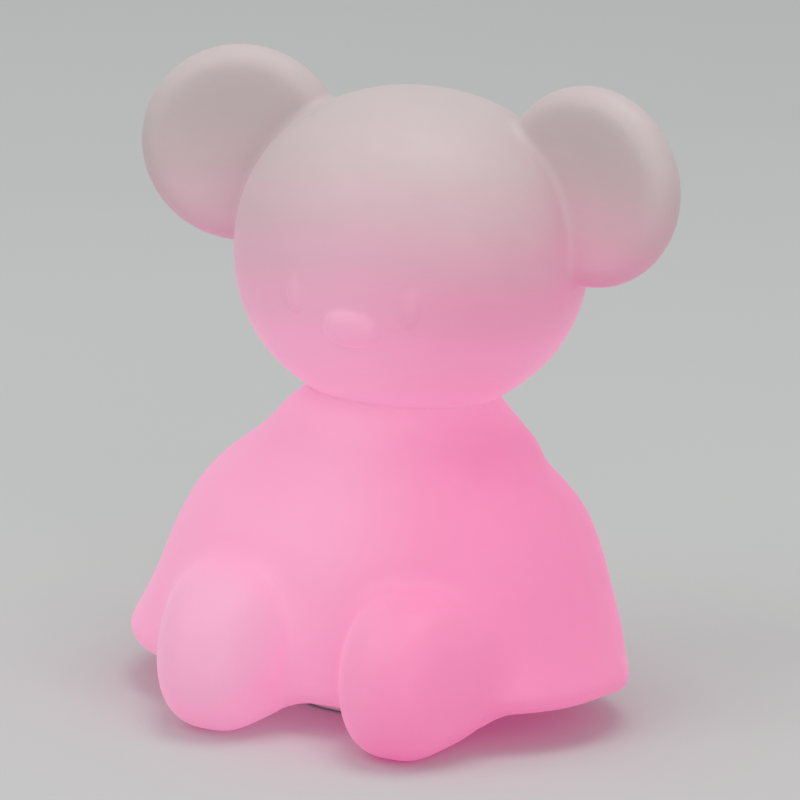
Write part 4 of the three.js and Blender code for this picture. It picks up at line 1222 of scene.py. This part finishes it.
def build_base():
    white = moulded("white_plastic", WHITE_PLASTIC, 0.45)
    black = moulded("black_plastic", BLACK_PLASTIC, 0.5, tone=0.06)
    rubber = moulded("grip_rubber", RUBBER, 0.8, tone=0.06, grain=1500, depth=0.00005)
    steel = plated("steel", STEEL, 0.32, MARKS_ALONG_Y)
    gold = moulded("gold_plating", GOLD, 0.25, metallic=1.0)
    build_housing(white)
    build_cover(white)
    build_diffuser(frosted("frosted_plastic"))
    ring = add_fine("clamp", lathe(soften(CLAMP_OUTLINE, WIDE_EDGE)), white)
    keep(ring, "body", "clamp_ring", "white_plastic")
    for i, place in enumerate(PAD_PLACES, 1):
        shape = lathe(soften(PAD_OUTLINE, PAD_EDGE, False), place, FITTING_AROUND)
        pad = add_fine(f"pad_{i}", shape, rubber)
        keep(pad, "body", f"grip_pad_{i}", "grip_rubber", PAD_SHARP_DEGREES)
    outline = soften(BUTTON_OUTLINE, BUTTON_EDGE, False)
    button = add_fine("button", lathe(outline, BUTTON_PLACE, FITTING_AROUND), white)
    keep(button, "mode_button", "mode_button", "white_plastic")
    build_knob(black)
    for i in range(1, 4):
        build_screw("cover_screw", i, False, steel)
        build_screw("diffuser_screw", i, True, steel)
    build_socket(steel, gold)
    dress_nodes(white, black, steel)


# The camera stands where the photograph was taken from
CAMERA_AZIMUTH = math.radians(21.14)
CAMERA_ELEVATION = math.radians(14)
CAMERA_ROLL = math.radians(2.82)
CAMERA_DISTANCE = 1.40924
CAMERA_LENS_MM = 270
CAMERA_SENSOR_MM = 36
CAMERA_CLIPS = (0.05, 50)
# The aim in the picture's own right and up, and how high the figure's point for it is
CAMERA_AIM_RIGHT = -0.00115
CAMERA_AIM_UP = -0.0007
CAMERA_AIM_Z = 0.07046

FLOOR_COLOUR = (0.58, 0.6, 0.59)
FLOOR_TONES = (0.985, 1.01)
FLOOR_NOISE = (3, 3)
FLOOR_RADII = (0.0232, 12)
FLOOR_SIDES = 64

# The studio's lights: name, place, size across in metres and power in watts
LIGHTS = (
    ("key", (-0.8, -1.1, 1.4), 1.2, 6),
    ("top", (0.1, 0.0, 1.8), 1.0, 8),
    ("front", (1.2, -1.35, 0.6), 1.4, 7),
)
LIGHTS_AIM = (0, 0, 0.08)
WORLD_STRENGTH = 0.55


def build_camera():
    a, e = CAMERA_AZIMUTH, CAMERA_ELEVATION
    right = Vector((math.cos(a), math.sin(a), 0))
    back = Vector((math.sin(a) * math.cos(e), -math.cos(a) * math.cos(e), math.sin(e)))
    up = back.cross(right)
    aim = Vector((0, FIGURE_SHIFT_Y_MM * MM, CAMERA_AIM_Z))
    aim += right * CAMERA_AIM_RIGHT + up * CAMERA_AIM_UP
    c, s = math.cos(CAMERA_ROLL), math.sin(CAMERA_ROLL)
    axes = Matrix((right * c + up * s, up * c - right * s, back)).transposed()
    data = bpy.data.cameras.new("camera")
    data.lens = CAMERA_LENS_MM
    data.sensor_width = CAMERA_SENSOR_MM
    data.clip_start, data.clip_end = CAMERA_CLIPS
    camera = bpy.data.objects.new("camera", data)
    camera.matrix_world = Matrix.Translation(aim + back * CAMERA_DISTANCE) @ axes.to_4x4()
    bpy.context.scene.collection.objects.link(camera)
    bpy.context.scene.camera = camera


def build_stage():
    """A wide pale floor, seen through from below, with an opening that the base covers, so
    that the underside can be seen by daylight."""
    g = Graph("stage_paper")
    tone = g.uneven(*FLOOR_TONES, *FLOOR_NOISE)
    g.set(Base_Color=g.mix(1, FLOOR_COLOUR, tone, "MULTIPLY"), Roughness=0.9)
    choice = g.add("ShaderNodeMixShader")
    g.put(choice.inputs[0], g.add("ShaderNodeNewGeometry").outputs["Backfacing"])
    g.put(choice.inputs[1], g.shader.outputs[0])
    g.put(choice.inputs[2], g.add("ShaderNodeBsdfTransparent").outputs[0])
    g.put(g.tree.nodes["Material Output"].inputs["Surface"], choice.outputs[0])
    turns = [2 * math.pi * i / FLOOR_SIDES for i in range(FLOOR_SIDES)]
    middle_y = BASE_ROW_Y_MM * MM
    points = [(radius * math.cos(a), middle_y + radius * math.sin(a), 0)
              for radius in FLOOR_RADII for a in turns]
    faces = [(i, FLOOR_SIDES + i, FLOOR_SIDES + (i + 1) % FLOOR_SIDES, (i + 1) % FLOOR_SIDES)
             for i in range(FLOOR_SIDES)]
    add_object("floor", points, faces, g.material)


def build_lights():
    for name, place, size, power in LIGHTS:
        data = bpy.data.lights.new(name, "AREA")
        data.size = size
        data.energy = power
        light = bpy.data.objects.new(name, data)
        light.location = place
        way = Vector(LIGHTS_AIM) - Vector(place)
        light.rotation_euler = way.to_track_quat("-Z", "Y").to_euler()
        bpy.context.scene.collection.objects.link(light)
    world = bpy.data.worlds.new("world")
    bpy.context.scene.world = world
    world.use_nodes = True
    background = world.node_tree.nodes["Background"]
    background.inputs["Color"].default_value = (1, 1, 1, 1)
    background.inputs["Strength"].default_value = WORLD_STRENGTH


bpy.context.scene.view_settings.view_transform = "Standard"
build_camera()
build_stage()
build_lights()
build_skin()
build_base()
